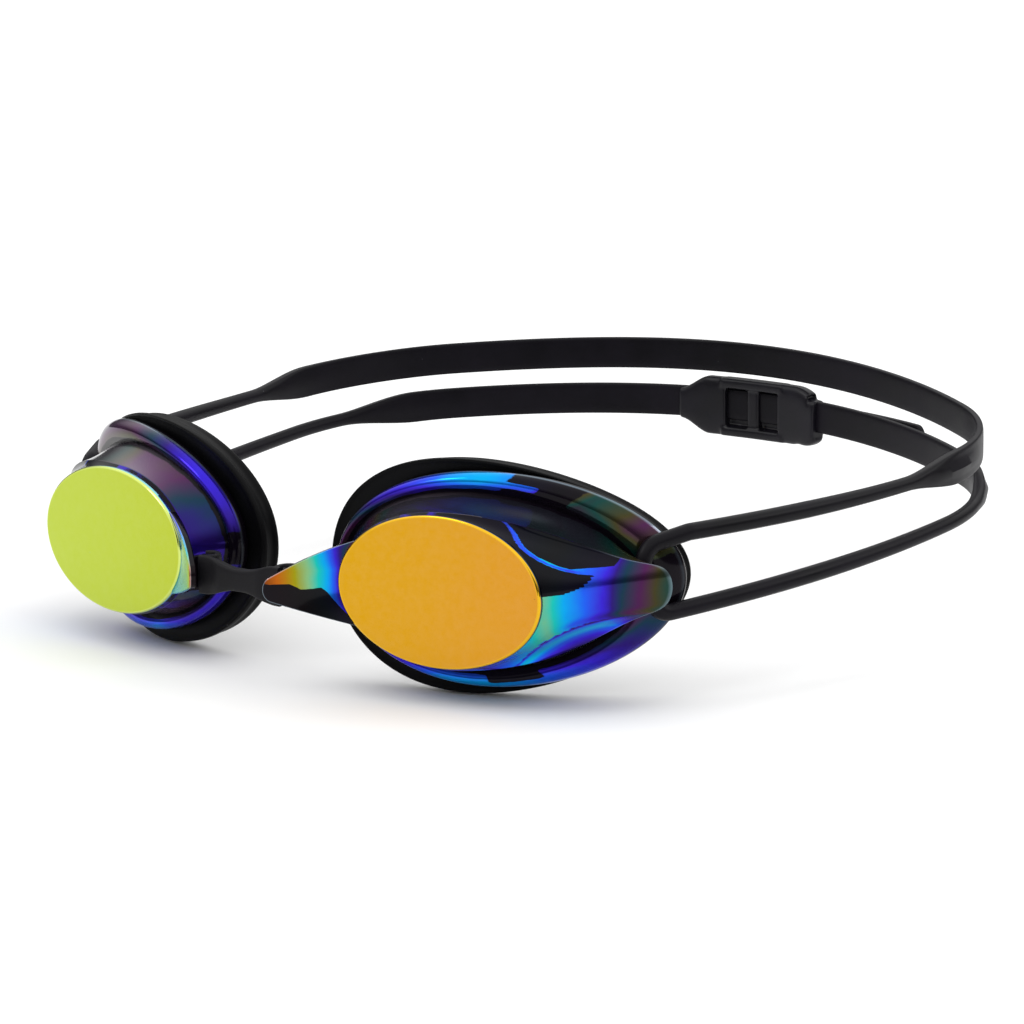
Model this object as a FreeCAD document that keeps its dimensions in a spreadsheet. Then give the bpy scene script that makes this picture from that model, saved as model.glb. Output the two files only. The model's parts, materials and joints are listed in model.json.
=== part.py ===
import FreeCAD, Part
import math
import os

from FreeCAD import Placement, Rotation, Vector

# Swim goggles with a split strap. Millimetres, +Z up, -Y forward, +X towards the wearer's left.
# The origin is the middle of the seat on the face, level with the centres of the lens faces.

RUN_SHARE = 0.45
SHORTEST_ARC = 0.5
CORD_STEP = 9
BAND_STEPS = 10
RISE_POWER = 4

DOCUMENT = FreeCAD.newDocument("swim_goggles")
SHEET = DOCUMENT.addObject("Spreadsheet::Sheet", "sizes")

SIZES = {
    # Where the two eye cups stand.
    "face_spread": 37.0,
    "face_reach": 17.0,
    "toe_angle": 9.4,
    # The lens: flat face, flared wall and the flange that wraps round the eye.
    "face_half_length": 19.4,
    "face_half_height": 12.9,
    "face_thickness": 2.0,
    "lens_wall": 1.8,
    "base_half_length": 27.5,
    "base_half_height": 17.4,
    "base_shift": 3.4,
    "base_depth": 26.0,
    "cup_rise": 0.8,
    "wrap_radius": 66.0,
    "wrap_shift": 10.0,
    "flange_front": 7.0,
    "flange_thickness": 1.8,
    "flange_half_length": 29.0,
    "flange_half_height": 18.3,
    "flange_shift": 3.9,
    # The soft gasket behind the flange.
    "gasket_half_length": 30.6,
    "gasket_half_height": 19.8,
    "gasket_shift": 2.6,
    "gasket_depth": 5.0,
    "gasket_hole_half_length": 20.5,
    "gasket_hole_half_height": 12.2,
    # The temple wing with its upright slot for the strap cord.
    "wing_root": 6.8,
    "wing_front_reach": 18.0,
    "wing_front_inset": 0.6,
    "wing_shoulder": 9.8,
    "wing_shoulder_height": 12.3,
    "wing_reach": 35.0,
    "wing_depth": 17.2,
    "wing_tip_radius": 3.9,
    "wing_end_lean": 2.2,
    "wing_end_depth": 7.0,
    "slot_reach": 31.2,
    "slot_depth": 17.8,
    "slot_length": 6.0,
    "slot_clearance": 0.45,
    # The nose tab, its post and the bridge that clips on the two posts.
    "tab_root": 15.5,
    "tab_overlap": 1.5,
    "tab_inset": 0.5,
    "tab_reach": 30.2,
    "tab_lead": 6.4,
    "tab_thickness": 1.7,
    "tab_tip_radius": 2.2,
    "tab_drop": 1.2,
    "tab_root_half_height": 7.4,
    "post_radius": 1.1,
    "post_half_height": 3.6,
    "post_setback": 4.0,
    "post_inset": 4.0,
    "rib_thickness": 0.9,
    "hook_clearance": 0.3,
    "open_hook_clearance": 0.75,
    "hook_wall": 1.5,
    "hook_half_height": 3.1,
    "hook_mouth": 2.4,
    "hook_tab_gap": 0.7,
    "waist_half_length": 3.2,
    "waist_half_height": 1.9,
    "waist_thickness": 2.3,
    "waist_setback": 0.6,
    # The strap: round cords at the sides, flat bands behind the head.
    "cord_radius": 1.45,
    "cord_bend": 2.6,
    "upper_cord_height": 8.9,
    "lower_cord_height": -4.3,
    "upper_cord_slope": 0.5,
    "lower_cord_slope": 3.7,
    "side_run": 69.8,
    "side_radius": 220.0,
    "corner_radius": 36.0,
    "rear_radius": 110.0,
    "flex_run": 34.0,
    "flex_gap": 0.9,
    "band_half_width": 3.0,
    "band_thickness": 1.4,
    "upper_band_run": 66.0,
    "lower_band_run": 90.0,
    "band_taper": 12.0,
    "band_overlap": 3.0,
    "lower_band_gap": 1.0,
    "lower_rear_height": 6.8,
    # The buckle on the lower band and the free end of the strap.
    "buckle_half_length": 15.5,
    "buckle_half_height": 6.2,
    "buckle_thickness": 3.8,
    "buckle_shift": 4.0,
    "buckle_drop": 1.2,
    "buckle_top_gap": 1.2,
    "buckle_corner": 3.0,
    "window_length": 5.4,
    "window_half_height": 3.6,
    "window_bar": 2.6,
    "strap_clearance": 0.35,
    "tail_length": 26.0,
}


def fill_sheet():
    """Write every driving size to the sheet under its own alias."""
    for row, (name, value) in enumerate(SIZES.items(), start=1):
        SHEET.set(f"A{row}", name)
        SHEET.set(f"B{row}", str(value))
        SHEET.setAlias(f"B{row}", name)
    DOCUMENT.recompute()


def size(name):
    """The value of one cell of the sheet."""
    return float(SHEET.get(name))


def new(kind, name, **bound):
    """A document object whose named properties are bound to expressions on the sheet."""
    item = DOCUMENT.addObject(kind, name)
    item.Label = name
    for prop, formula in bound.items():
        item.setExpression(prop, formula)
    return item


def boolean(kind, name, base, tool):
    """A Part::Cut or Part::Common of two objects."""
    item = new(kind, name)
    item.Base = base
    item.Tool = tool
    return item


def fuse(name, items):
    """One solid out of several overlapping objects."""
    item = new("Part::MultiFuse", name)
    item.Shapes = items
    return item


def prism(name, corners, direction):
    """A closed outline of straight sides, pushed along a direction."""
    item = new("Part::Feature", name)
    outline = Part.makePolygon([Vector(*corner) for corner in corners] + [Vector(*corners[0])])
    item.Shape = Part.Face(outline).extrude(Vector(*direction))
    return item


# ---------------------------------------------------------------- one eye cup


class EyeCup:
    """A lens and its gasket. In the cup's own frame x points outward, y back and z up."""

    def __init__(self, label, side):
        self.label = label
        self.side = side
        self.placement = Placement(
            Vector(side * size("face_spread"), -size("face_reach"), 0),
            Rotation(Vector(0, 0, 1), side * size("toe_angle")),
        )

    def name(self, word):
        return f"{self.label}_{word}"

    def at(self, out, back, up=0.0):
        """A point of the cup's own frame."""
        return Vector(self.side * out, back, up)

    def oval(self, word, length, height, shift, rise, depth):
        """An ellipse that faces forward at a depth behind the face."""
        item = new("Part::Ellipse", self.name(word), MajorRadius=length, MinorRadius=height)
        item.Placement = Placement(self.at(shift, depth, rise), Rotation(Vector(1, 0, 0), 90))
        return item

    def reach_height(self):
        """Taller than the cup, for the tools that cut it."""
        return 4 * size("gasket_half_height")

    def behind(self, word, formula):
        """All that lies behind the wrap surface at a depth given by sheet names."""
        item = new("Part::Cylinder", self.name(word), Radius=f"sizes.wrap_radius - ({formula})")
        item.Height = self.reach_height()
        centre = self.at(-size("wrap_shift"), size("wrap_radius"), -self.reach_height() / 2)
        item.Placement = Placement(centre, Rotation())
        return item

    def deep_oval(self, word, length, height, shift):
        """A cylinder with an oval section that runs from the face right through the cup."""
        outline = self.oval(word + "_outline", length, height, shift, size("cup_rise"), 0.0)
        item = new("Part::Extrusion", self.name(word))
        item.Base = outline
        item.DirMode = "Custom"
        item.Dir = Vector(0, 1, 0)
        item.setExpression("LengthFwd", "sizes.wrap_radius")
        item.Solid = True
        return item

    def loft(self, word, ovals):
        """A solid through ovals."""
        item = new("Part::Loft", self.name(word))
        item.Sections = ovals
        item.Solid = True
        item.Ruled = True
        return item

    def wall(self):
        """The raised tube from the face to the flange."""
        front = self.oval("wall_front", "sizes.face_half_length", "sizes.face_half_height", 0, 0, 0)
        back = self.oval(
            "wall_back", "sizes.base_half_length", "sizes.base_half_height",
            size("base_shift"), size("cup_rise"), size("base_depth"),
        )
        whole = self.loft("wall_whole", [front, back])
        rest = self.behind("wall_rest", "sizes.flange_front + sizes.flange_thickness")
        return boolean("Part::Cut", self.name("wall"), whole, rest)

    def cavity(self):
        """The space over the eye."""
        thick = size("face_thickness")
        front = self.oval(
            "cavity_front", "sizes.face_half_length - sizes.lens_wall",
            "sizes.face_half_height - sizes.lens_wall", 0, 0, thick,
        )
        back = self.oval(
            "cavity_back", "sizes.base_half_length - sizes.lens_wall",
            "sizes.base_half_height - sizes.lens_wall",
            size("base_shift"), size("cup_rise"), size("base_depth") + thick,
        )
        return self.loft("cavity", [front, back])

    def flange(self):
        """The rim that carries the gasket: an oval cut out of the wrap between two depths."""
        outline = self.deep_oval(
            "flange_oval", "sizes.flange_half_length", "sizes.flange_half_height", size("flange_shift"),
        )
        front = self.behind("flange_front", "sizes.flange_front")
        back = self.behind("flange_back", "sizes.flange_front + sizes.flange_thickness")
        shell = boolean("Part::Common", self.name("flange_shell"), outline, front)
        return boolean("Part::Cut", self.name("flange"), shell, back)

    def wing_heading(self):
        """The angle at which the wing's front sweeps back."""
        return math.atan2(size("wing_depth"), size("wing_reach") - size("wing_front_reach"))

    def round_end(self, word, radius, out, up):
        """A cylinder across the cup that rounds off the end of a wing or a tab, seen from the front."""
        item = new("Part::Cylinder", self.name(word), Radius=radius)
        item.Height = self.reach_height()
        centre = self.at(out, self.reach_height() / 2, up)
        item.Placement = Placement(centre, Rotation(Vector(1, 0, 0), 90))
        return item

    def front_outline(self, word, corners):
        """An outline seen from the front, pushed through the whole depth of the cup."""
        reach = self.reach_height()
        points = [self.at(out, -reach / 2, up) for out, up in corners]
        return prism(self.name(word), [(p.x, p.y, p.z) for p in points], (0, reach, 0))

    def wing(self):
        """The wedge that sweeps back from the face to the temple, with a round tip."""
        rise = size("cup_rise")
        inner = size("wing_root")
        tip = size("wing_tip_radius")
        tall = self.reach_height()
        reach = size("wing_reach")
        depth = size("wing_depth")
        plan = [
            self.at(inner, size("wing_front_inset")),
            self.at(size("wing_front_reach"), size("wing_front_inset")),
            self.at(reach, depth),
            self.at(reach - size("wing_end_lean"), depth + size("wing_end_depth")),
            self.at(inner, depth),
        ]
        body = prism(self.name("wing_plan"), [(p.x, p.y, -tall / 2) for p in plan], (0, 0, tall))
        edge = size("wing_shoulder_height")
        outline = self.front_outline("wing_outline", [
            (inner, edge), (size("wing_shoulder"), edge), (reach - tip, rise + tip),
            (reach - tip, rise - tip), (size("wing_shoulder"), -edge), (inner, -edge),
        ])
        end = self.round_end("wing_end", "sizes.wing_tip_radius", reach - tip, rise)
        side = fuse(self.name("wing_side"), [outline, end])
        wedge = boolean("Part::Common", self.name("wing_wedge"), body, side)
        rest = self.behind("wing_rest", "sizes.flange_front + sizes.flange_thickness / 2")
        return boolean("Part::Cut", self.name("wing"), wedge, rest)

    def slot(self):
        """The upright slot behind the wing, as wide as the cord and its clearance."""
        radius = size("cord_radius") + size("slot_clearance")
        height = self.reach_height()
        heading = self.wing_heading()
        rear = self.at(size("slot_reach"), size("slot_depth"), -height / 2)
        front = rear - self.at(math.cos(heading), math.sin(heading)) * size("slot_length")
        ends = []
        for word, centre in (("slot_rear", rear), ("slot_front", front)):
            end = new("Part::Cylinder", self.name(word), Radius="sizes.cord_radius + sizes.slot_clearance")
            end.Height = height
            end.Placement = Placement(centre, Rotation())
            ends.append(end)
        middle = new(
            "Part::Box", self.name("slot_middle"),
            Length="sizes.slot_length", Width="2 * (sizes.cord_radius + sizes.slot_clearance)",
        )
        middle.Height = height
        turn = math.degrees(heading) if self.side > 0 else 180 - math.degrees(heading)
        rotation = Rotation(Vector(0, 0, 1), turn)
        middle.Placement = Placement(front - rotation.multVec(Vector(0, radius, 0)), rotation)
        return fuse(self.name("slot"), ends + [middle, self.notch(radius)])

    def notch(self, radius):
        """The room under the wing's tip for the lower cord, which leaves backwards from the slot."""
        reach = size("wing_reach") - size("slot_reach") + 2 * radius
        near = size("slot_reach") - radius
        item = new("Part::Box", self.name("slot_notch"))
        item.Length = reach
        item.Width = size("gasket_half_height")
        item.Height = size("gasket_half_height")
        top = size("lower_cord_height") + size("cord_bend")
        edge = near if self.side > 0 else near + reach
        corner = self.at(edge, size("slot_depth") - radius, top - size("gasket_half_height"))
        item.Placement = Placement(corner, Rotation())
        return item

    def tab_slope(self):
        """How steeply the nose tab leans forward."""
        return math.atan2(size("tab_lead") + size("tab_inset"), size("tab_reach") - size("tab_root"))

    def post_centre(self):
        """The upright post behind the nose tab, in the cup's own frame."""
        lean = self.tab_slope()
        along = size("post_inset")
        off = size("post_setback")
        return self.at(
            -size("tab_reach") + along * math.cos(lean) - off * math.sin(lean),
            -size("tab_lead") + along * math.sin(lean) + off * math.cos(lean),
            -size("tab_drop"),
        )

    def tab(self):
        """The flat tab that leans forward over the nose."""
        root = size("tab_root")
        reach = size("tab_reach")
        lead = size("tab_lead")
        drop = size("tab_drop")
        tip = size("tab_tip_radius")
        high = size("tab_root_half_height")
        tall = self.reach_height()
        back = Vector(0, size("tab_thickness") / math.cos(self.tab_slope()), 0)
        rim = [self.at(-root, size("tab_inset")), self.at(-reach, -lead)]
        plan = rim + [point + back for point in rim[::-1]]
        body = prism(self.name("tab_plan"), [(p.x, p.y, -tall / 2) for p in plan], (0, 0, tall))
        start = size("tab_overlap") - root
        outline = self.front_outline("tab_outline", [
            (start, high), (tip - reach, tip - drop), (tip - reach, -tip - drop), (start, -high),
        ])
        end = self.round_end("tab_end", "sizes.tab_tip_radius", tip - reach, -drop)
        side = fuse(self.name("tab_side"), [outline, end])
        return boolean("Part::Common", self.name("tab"), body, side)

    def post(self):
        """The post and the rib that ties it to the back of the tab."""
        centre = self.post_centre()
        half = size("post_half_height")
        rod = new(
            "Part::Cylinder", self.name("post"),
            Radius="sizes.post_radius", Height="2 * sizes.post_half_height",
        )
        rod.Placement = Placement(centre - Vector(0, 0, half), Rotation())
        rib = new(
            "Part::Box", self.name("rib"),
            Length="sizes.rib_thickness", Height="2 * sizes.post_half_height", Width="sizes.post_setback",
        )
        lean = math.degrees(self.tab_slope()) * self.side
        rotation = Rotation(Vector(0, 0, 1), lean)
        corner = Vector(-size("rib_thickness") / 2, -size("post_setback"), -half)
        rib.Placement = Placement(centre + rotation.multVec(corner), rotation)
        return [rod, rib]

    def lens(self):
        """The whole lens moulding."""
        outside = fuse(
            self.name("moulding"), [self.wall(), self.flange(), self.wing(), self.tab()] + self.post(),
        )
        hollow = boolean("Part::Cut", self.name("hollow_moulding"), outside, self.cavity())
        item = boolean("Part::Cut", self.name("lens"), hollow, self.slot())
        item.Placement = self.placement
        return item

    def gasket(self):
        """The soft ring between the flange and the face."""
        outline = self.deep_oval(
            "gasket_oval", "sizes.gasket_half_length", "sizes.gasket_half_height", size("gasket_shift"),
        )
        front = self.behind("gasket_front", "sizes.flange_front + sizes.flange_thickness")
        back = self.behind("gasket_back", "sizes.flange_front + sizes.flange_thickness + sizes.gasket_depth")
        hole = self.deep_oval(
            "gasket_hole", "sizes.gasket_hole_half_length", "sizes.gasket_hole_half_height",
            size("gasket_shift"),
        )
        shell = boolean("Part::Common", self.name("gasket_shell"), outline, front)
        ring = boolean("Part::Cut", self.name("gasket_ring"), shell, back)
        item = boolean("Part::Cut", self.name("gasket"), ring, hole)
        item.Placement = self.placement
        return item

    def world(self, point):
        """A point of the cup's own frame, in the frame of the whole object."""
        return self.placement.multVec(point)


# ---------------------------------------------------------------- the bridge


def hook(cup, slack):
    """The clip at one end of the bridge: a ring round the cup's post, and the cuts that open it."""
    centre = cup.world(cup.post_centre())
    half = size("hook_half_height")
    bore_radius = f"sizes.post_radius + sizes.{slack}"
    ring = new("Part::Cylinder", cup.name("hook"), Radius=bore_radius + " + sizes.hook_wall")
    ring.setExpression("Height", "2 * sizes.hook_half_height")
    ring.Placement = Placement(centre - Vector(0, 0, half), Rotation())
    tall = "4 * sizes.hook_half_height"
    bore = new("Part::Cylinder", cup.name("hook_bore"), Radius=bore_radius, Height=tall)
    bore.Placement = Placement(centre - Vector(0, 0, 2 * half), Rotation())
    lean = cup.side * (math.degrees(cup.tab_slope()) + size("toe_angle"))
    rotation = Rotation(Vector(0, 0, 1), lean)
    outer = size("post_radius") + size(slack) + size("hook_wall")
    mouth = new("Part::Box", cup.name("hook_mouth"), Length="sizes.hook_mouth", Height=tall)
    mouth.Width = outer
    corner = Vector(-size("hook_mouth") / 2, -outer, -2 * half)
    mouth.Placement = Placement(centre + rotation.multVec(corner), rotation)
    relief = new("Part::Box", cup.name("hook_relief"), Height=tall)
    relief.Length = 2 * outer
    relief.Width = outer
    cut = size("post_setback") - size("tab_thickness") - size("hook_tab_gap")
    corner = Vector(-outer, -cut - outer, -2 * half)
    relief.Placement = Placement(centre + rotation.multVec(corner), rotation)
    return ring, [bore, mouth, relief]


def bridge(left, right):
    """A soft bar with a clip hook at each end, one on each post."""
    left_ring, left_cuts = hook(left, "hook_clearance")
    right_ring, right_cuts = hook(right, "open_hook_clearance")
    start = right.world(right.post_centre())
    end = left.world(left.post_centre())
    half = size("hook_half_height")
    waist = size("waist_half_height")
    thick = size("waist_thickness")
    near = start.x + size("post_radius") + size("open_hook_clearance") + size("hook_wall") / 2
    far = end.x - size("post_radius") - size("hook_clearance") - size("hook_wall") / 2
    middle = size("waist_half_length")
    profile = [
        (near, half), (-middle, waist), (middle, waist), (far, half),
        (far, -half), (middle, -waist), (-middle, -waist), (near, -half),
    ]
    front = start.y - thick / 2 + size("waist_setback")
    bar = prism("bridge_bar", [(x, front, start.z + z) for x, z in profile], (0, thick, 0))
    solid = fuse("bridge_solid", [left_ring, right_ring, bar])
    tools = fuse("bridge_tools", left_cuts + right_cuts)
    return boolean("Part::Cut", "nose_bridge", solid, tools)


# ---------------------------------------------------------------- the strap


class StrapRoute:
    """The plan of the strap: a side arc, a corner arc and the rear arc, tangent to each other."""

    def __init__(self, slot):
        self.slot = slot
        self.side_centre_y = slot.y + size("side_run")
        self.run = size("side_run")
        radius = size("side_radius")
        self.half_width = slot.x + radius - math.sqrt(radius ** 2 - self.run ** 2)
        inside = size("rear_radius") - size("corner_radius")
        across = self.half_width - size("corner_radius")
        self.corner_centre = Vector(across, self.side_centre_y, 0)
        self.rear_centre = Vector(0, self.side_centre_y - math.sqrt(inside ** 2 - across ** 2), 0)
        self.side_centre = Vector(self.half_width - radius, self.side_centre_y, 0)
        self.rear_angle = math.asin(across / inside)
        self.side_length = radius * math.asin(self.run / radius)
        self.corner_length = size("corner_radius") * (math.pi / 2 - self.rear_angle)
        self.rear_length = size("rear_radius") * self.rear_angle

        corner_start = self.side_length
        rear_start = corner_start + self.corner_length
        self.arcs = [
            (0.0, corner_start, self.side_centre, size("side_radius"), -corner_start / size("side_radius")),
            (corner_start, rear_start, self.corner_centre, size("corner_radius"), 0.0),
            (
                rear_start, rear_start + self.rear_length, self.rear_centre, size("rear_radius"),
                math.pi / 2 - self.rear_angle,
            ),
        ]

    def length(self):
        """From the slot to the middle of the back."""
        return self.side_length + self.corner_length + self.rear_length

    def on_arc(self, arc, run, offset, side=1):
        """The plan point of one arc at a length from the slot, moved outward by an offset."""
        start, _, centre, radius, turn = arc
        angle = turn + (run - start) / radius
        reach = radius + offset
        return Vector(side * (centre.x + reach * math.cos(angle)), centre.y + reach * math.sin(angle), 0)

    def point(self, run):
        """The plan point at a length from the slot."""
        arc = next((arc for arc in self.arcs if run <= arc[1]), self.arcs[-1])
        return self.on_arc(arc, run, 0.0)

    def edges(self, start, end, offset, side):
        """Arcs along the route from start to end, on one side of the object."""
        edges = []
        for arc in self.arcs:
            first = max(start, arc[0])
            last = min(end, arc[1])
            if last - first > SHORTEST_ARC:
                points = [self.on_arc(arc, run, offset, side) for run in (first, (first + last) / 2, last)]
                edges.append(Part.Arc(*points).toShape())
        return edges

    def rear_depth(self):
        return self.rear_centre.y + size("rear_radius")


def buckle_height(lower_rear_height):
    """The height of the buckle's middle, a little below the band that it slides on."""
    return lower_rear_height - size("buckle_drop")


def upper_rear_height():
    """The height of the upper band behind the head, clear of the buckle under it."""
    top = buckle_height(size("lower_rear_height")) + size("buckle_half_height")
    return top + size("buckle_top_gap") + size("band_half_width")


class StrapRun:
    """The upper or the lower half of the split strap."""

    def __init__(self, word, route, band_run, rear_height):
        self.word = word
        self.route = route
        self.band_run = size(band_run)
        self.start_height = size(f"{word}_cord_height")
        self.rise = math.tan(math.radians(size(f"{word}_cord_slope")))
        self.rear_height = rear_height

    def height(self, depth):
        """The height at a depth: a straight slope that curves up towards the back."""
        run = depth - self.route.slot.y
        whole = self.route.rear_depth() - self.route.slot.y
        straight = self.start_height + self.rise * run
        extra = self.rear_height - self.start_height - self.rise * whole
        return straight + extra * (run / whole) ** RISE_POWER

    def cord_points(self, start, end, side, steps):
        """Points of the round cord's centre line between two lengths."""
        points = []
        for step in range(steps + 1):
            flat = self.route.point(start + (end - start) * step / steps)
            points.append(Vector(side * flat.x, flat.y, self.height(flat.y)))
        return points

    def cord(self, start, end, side):
        """The round cord between two lengths, as straight runs joined by arcs."""
        steps = max(2, round((end - start) / (CORD_STEP * size("cord_radius"))))
        return pipe(f"{self.word} cord", rounded(self.cord_points(start, end, side, steps)))

    def strip(self, start_depth, end_depth):
        """The side view of the band: a strip that follows the run's height and narrows at its start."""
        across = 2 * self.route.half_width
        full = start_depth + size("band_taper")
        depths = [start_depth, full]
        depths += [full + (end_depth - full) * step / BAND_STEPS for step in range(1, BAND_STEPS + 1)]
        halves = [size("cord_radius")] + [size("band_half_width")] * (len(depths) - 1)
        top = [Vector(-across, depth, self.height(depth) + half) for depth, half in zip(depths, halves)]
        bottom = [Vector(-across, depth, self.height(depth) - half) for depth, half in zip(depths, halves)]
        return Part.Face(Part.makePolygon(top + bottom[::-1] + [top[0]])).extrude(Vector(2 * across, 0, 0))

    def band_plan(self, start, end, side):
        """The band seen from above, extruded taller than the band."""
        half = size("band_thickness") / 2
        outer = self.route.edges(start, end, half, side)
        inner = self.route.edges(start, end, -half, side)
        first = Part.LineSegment(inner[0].firstVertex(True).Point, outer[0].firstVertex(True).Point)
        last = Part.LineSegment(outer[-1].lastVertex(True).Point, inner[-1].lastVertex(True).Point)
        tall = 4 * size("gasket_half_height")
        outline = Part.Face(Part.Wire(outer + [last.toShape()] + inner[::-1] + [first.toShape()]))
        outline.translate(Vector(0, 0, -tall))
        return outline.extrude(Vector(0, 0, 2 * tall))

    def band(self, side, end):
        """The flat band from where the cord ends to a given length."""
        plan = self.band_plan(self.band_run, end, side)
        start_depth = self.route.point(self.band_run).y
        return plan.common(self.strip(start_depth, self.route.rear_depth() + size("buckle_thickness")))


def rounded(points, bends=None):
    """A wire of straight runs, with a tangent arc at each inner point as large as the runs allow.

    The arcs at tight corners have their radii in bends, under the number of the point.
    """
    edges = []
    last = points[0]
    for index, (before, corner, after) in enumerate(zip(points, points[1:], points[2:]), start=1):
        inward = (corner - before).normalize()
        outward = (after - corner).normalize()
        half_turn = math.tan(inward.getAngle(outward) / 2)
        cut = RUN_SHARE * min((corner - before).Length, (after - corner).Length)
        if bends and index in bends:
            cut = bends[index] * half_turn
        radius = cut / half_turn
        start = corner - inward * cut
        end = corner + outward * cut
        middle = corner + (outward - inward).normalize() * (math.hypot(radius, cut) - radius)
        edges.append(Part.LineSegment(last, start).toShape())
        edges.append(Part.Arc(start, middle, end).toShape())
        last = end
    edges.append(Part.LineSegment(last, points[-1]).toShape())
    return Part.Wire(edges)


def pipe(word, path):
    """A round cord along a wire. Prints its bends and compares its volume with section times length."""
    radius = size("cord_radius")
    start = path.Edges[0]
    heading = start.tangentAt(start.FirstParameter)
    ring = Part.Wire(Part.Circle(start.firstVertex(True).Point, heading, radius).toShape())
    solid = path.makePipeShell([ring], True, False)
    bends = [round(edge.Curve.Radius, 1) for edge in path.Edges if isinstance(edge.Curve, Part.Circle)]
    ratio = solid.Volume / (math.pi * radius ** 2 * path.Length)
    print(word, "bends", bends, "length", round(path.Length, 1), "volume ratio", round(ratio, 4))
    return solid


def temple_cord(label, upper, lower, route, side):
    """The cord that passes up through a lens's slot, with the front of both side cords."""
    flex = size("flex_run") - size("flex_gap") / 2
    front = Vector(side * route.slot.x, route.slot.y, 0)
    top = front + Vector(0, 0, size("upper_cord_height"))
    foot = front + Vector(0, 0, size("lower_cord_height"))
    above = upper.cord_points(flex / 2, flex, side, 1)
    below = lower.cord_points(flex / 2, flex, side, 1)
    points = above[::-1] + [top, foot] + below
    bends = {points.index(top): size("cord_bend"), points.index(foot): size("cord_bend")}
    item = new("Part::Feature", label)
    item.Shape = pipe(label, rounded(points, bends))
    return item


def upper_strap(upper, route):
    """The rear of the upper half: one band between two cord ends."""
    start = size("flex_run") + size("flex_gap") / 2
    halves = []
    for side in (1, -1):
        cord = upper.cord(start, upper.band_run + size("band_overlap"), side)
        halves.append(cord.fuse(upper.band(side, route.length())))
    item = new("Part::Feature", "upper_strap")
    item.Shape = halves[0].fuse(halves[1]).removeSplitter()
    return item


def lower_strap(label, lower, route, side):
    """One side of the lower half, from its cord to the buckle."""
    start = size("flex_run") + size("flex_gap") / 2
    end = route.length() - size("lower_band_gap") / 2
    cord = lower.cord(start, lower.band_run + size("band_overlap"), side)
    item = new("Part::Feature", label)
    item.Shape = cord.fuse(lower.band(side, end)).removeSplitter()
    return item


# ---------------------------------------------------------------- the buckle


def ring_piece(name, route, inner, outer, low, high, start, end):
    """A piece of a ring about the rear arc's centre, between two plan angles from the middle of the back."""
    rims = []
    for word, formula in (("outer", outer), ("inner", inner)):
        rim = new("Part::Cylinder", f"{name}_{word}", Radius=formula)
        rim.Height = high - low
        rim.Angle = math.degrees(end - start)
        turn = Rotation(Vector(0, 0, 1), 90 - math.degrees(end))
        rim.Placement = Placement(route.rear_centre + Vector(0, 0, low), turn)
        rims.append(rim)
    return boolean("Part::Cut", name, rims[0], rims[1])


def with_round_corners(name, radius, plate):
    """Rounds the corners of a plate that stands upright, where its edges run through its thickness."""
    DOCUMENT.recompute()
    item = new("Part::Fillet", name)
    item.Base = plate
    corners = []
    for index, edge in enumerate(plate.Shape.Edges, start=1):
        along = edge.tangentAt(edge.FirstParameter)
        if isinstance(edge.Curve, Part.Line) and abs(along.z) < 0.5:
            corners.append((index, radius, radius))
    item.Edges = corners
    return item


def buckle(route, lower):
    """A ladder-shaped slide on the lower band: a curved plate with two windows."""
    radius = size("rear_radius")
    height = buckle_height(lower.rear_height)
    half_height = size("buckle_half_height")
    middle = size("buckle_shift") / radius
    half_angle = size("buckle_half_length") / radius
    thick = "sizes.buckle_thickness / 2"
    plate = with_round_corners("buckle_rounded_plate", size("buckle_corner"), ring_piece(
        "buckle_plate", route, f"sizes.rear_radius - {thick}", f"sizes.rear_radius + {thick}",
        height - half_height, height + half_height, middle - half_angle, middle + half_angle,
    ))
    windows = []
    reach = (size("window_length") + size("window_bar")) / 2
    for index, sign in enumerate((-1, 1), start=1):
        centre = middle + sign * reach / radius
        span = size("window_length") / 2 / radius
        windows.append(ring_piece(
            f"buckle_window_{index}", route, "sizes.rear_radius - sizes.buckle_thickness",
            "sizes.rear_radius + sizes.buckle_thickness",
            height - size("window_half_height"), height + size("window_half_height"),
            centre - span, centre + span,
        ))
    clearance = "(sizes.band_thickness / 2 + sizes.strap_clearance)"
    passage = ring_piece(
        "buckle_passage", route, f"sizes.rear_radius - {clearance}", f"sizes.rear_radius + {clearance}",
        lower.rear_height - size("band_half_width") - size("buckle_drop") - size("strap_clearance"),
        lower.rear_height + size("band_half_width") + size("strap_clearance"),
        middle - 2 * half_angle, middle + 2 * half_angle,
    )
    return boolean("Part::Cut", "strap_buckle", plate, fuse("buckle_tools", windows + [passage]))


def tail(route, lower):
    """The free end of the strap, which lies along the outside of the lower band."""
    radius = size("rear_radius")
    height = lower.rear_height
    half = size("band_half_width")
    start = (size("buckle_shift") + size("buckle_half_length") + size("strap_clearance")) / radius
    inner = "sizes.rear_radius + sizes.band_thickness / 2 + sizes.strap_clearance"
    return ring_piece(
        "strap_tail", route, inner, inner + " + sizes.band_thickness",
        height - half, height + half, start, start + size("tail_length") / radius,
    )


# ---------------------------------------------------------------- the whole object


def check(items):
    """Stop when any object failed or any sub-part is not a sound solid."""
    for item in DOCUMENT.Objects:
        if "Invalid" in item.State or "Error" in item.State:
            raise RuntimeError(f"{item.Label} failed: {item.State}")
    for item in items:
        shape = item.Shape
        if shape.isNull() or not shape.isValid() or not shape.Solids:
            raise RuntimeError(f"{item.Label} is not a sound solid")
        box = shape.optimalBoundingBox(False)
        low = (round(box.XMin, 1), round(box.YMin, 1), round(box.ZMin, 1))
        high = (round(box.XMax, 1), round(box.YMax, 1), round(box.ZMax, 1))
        print(item.Label, "solids", len(shape.Solids), "volume", round(shape.Volume, 1), low, high)


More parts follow.
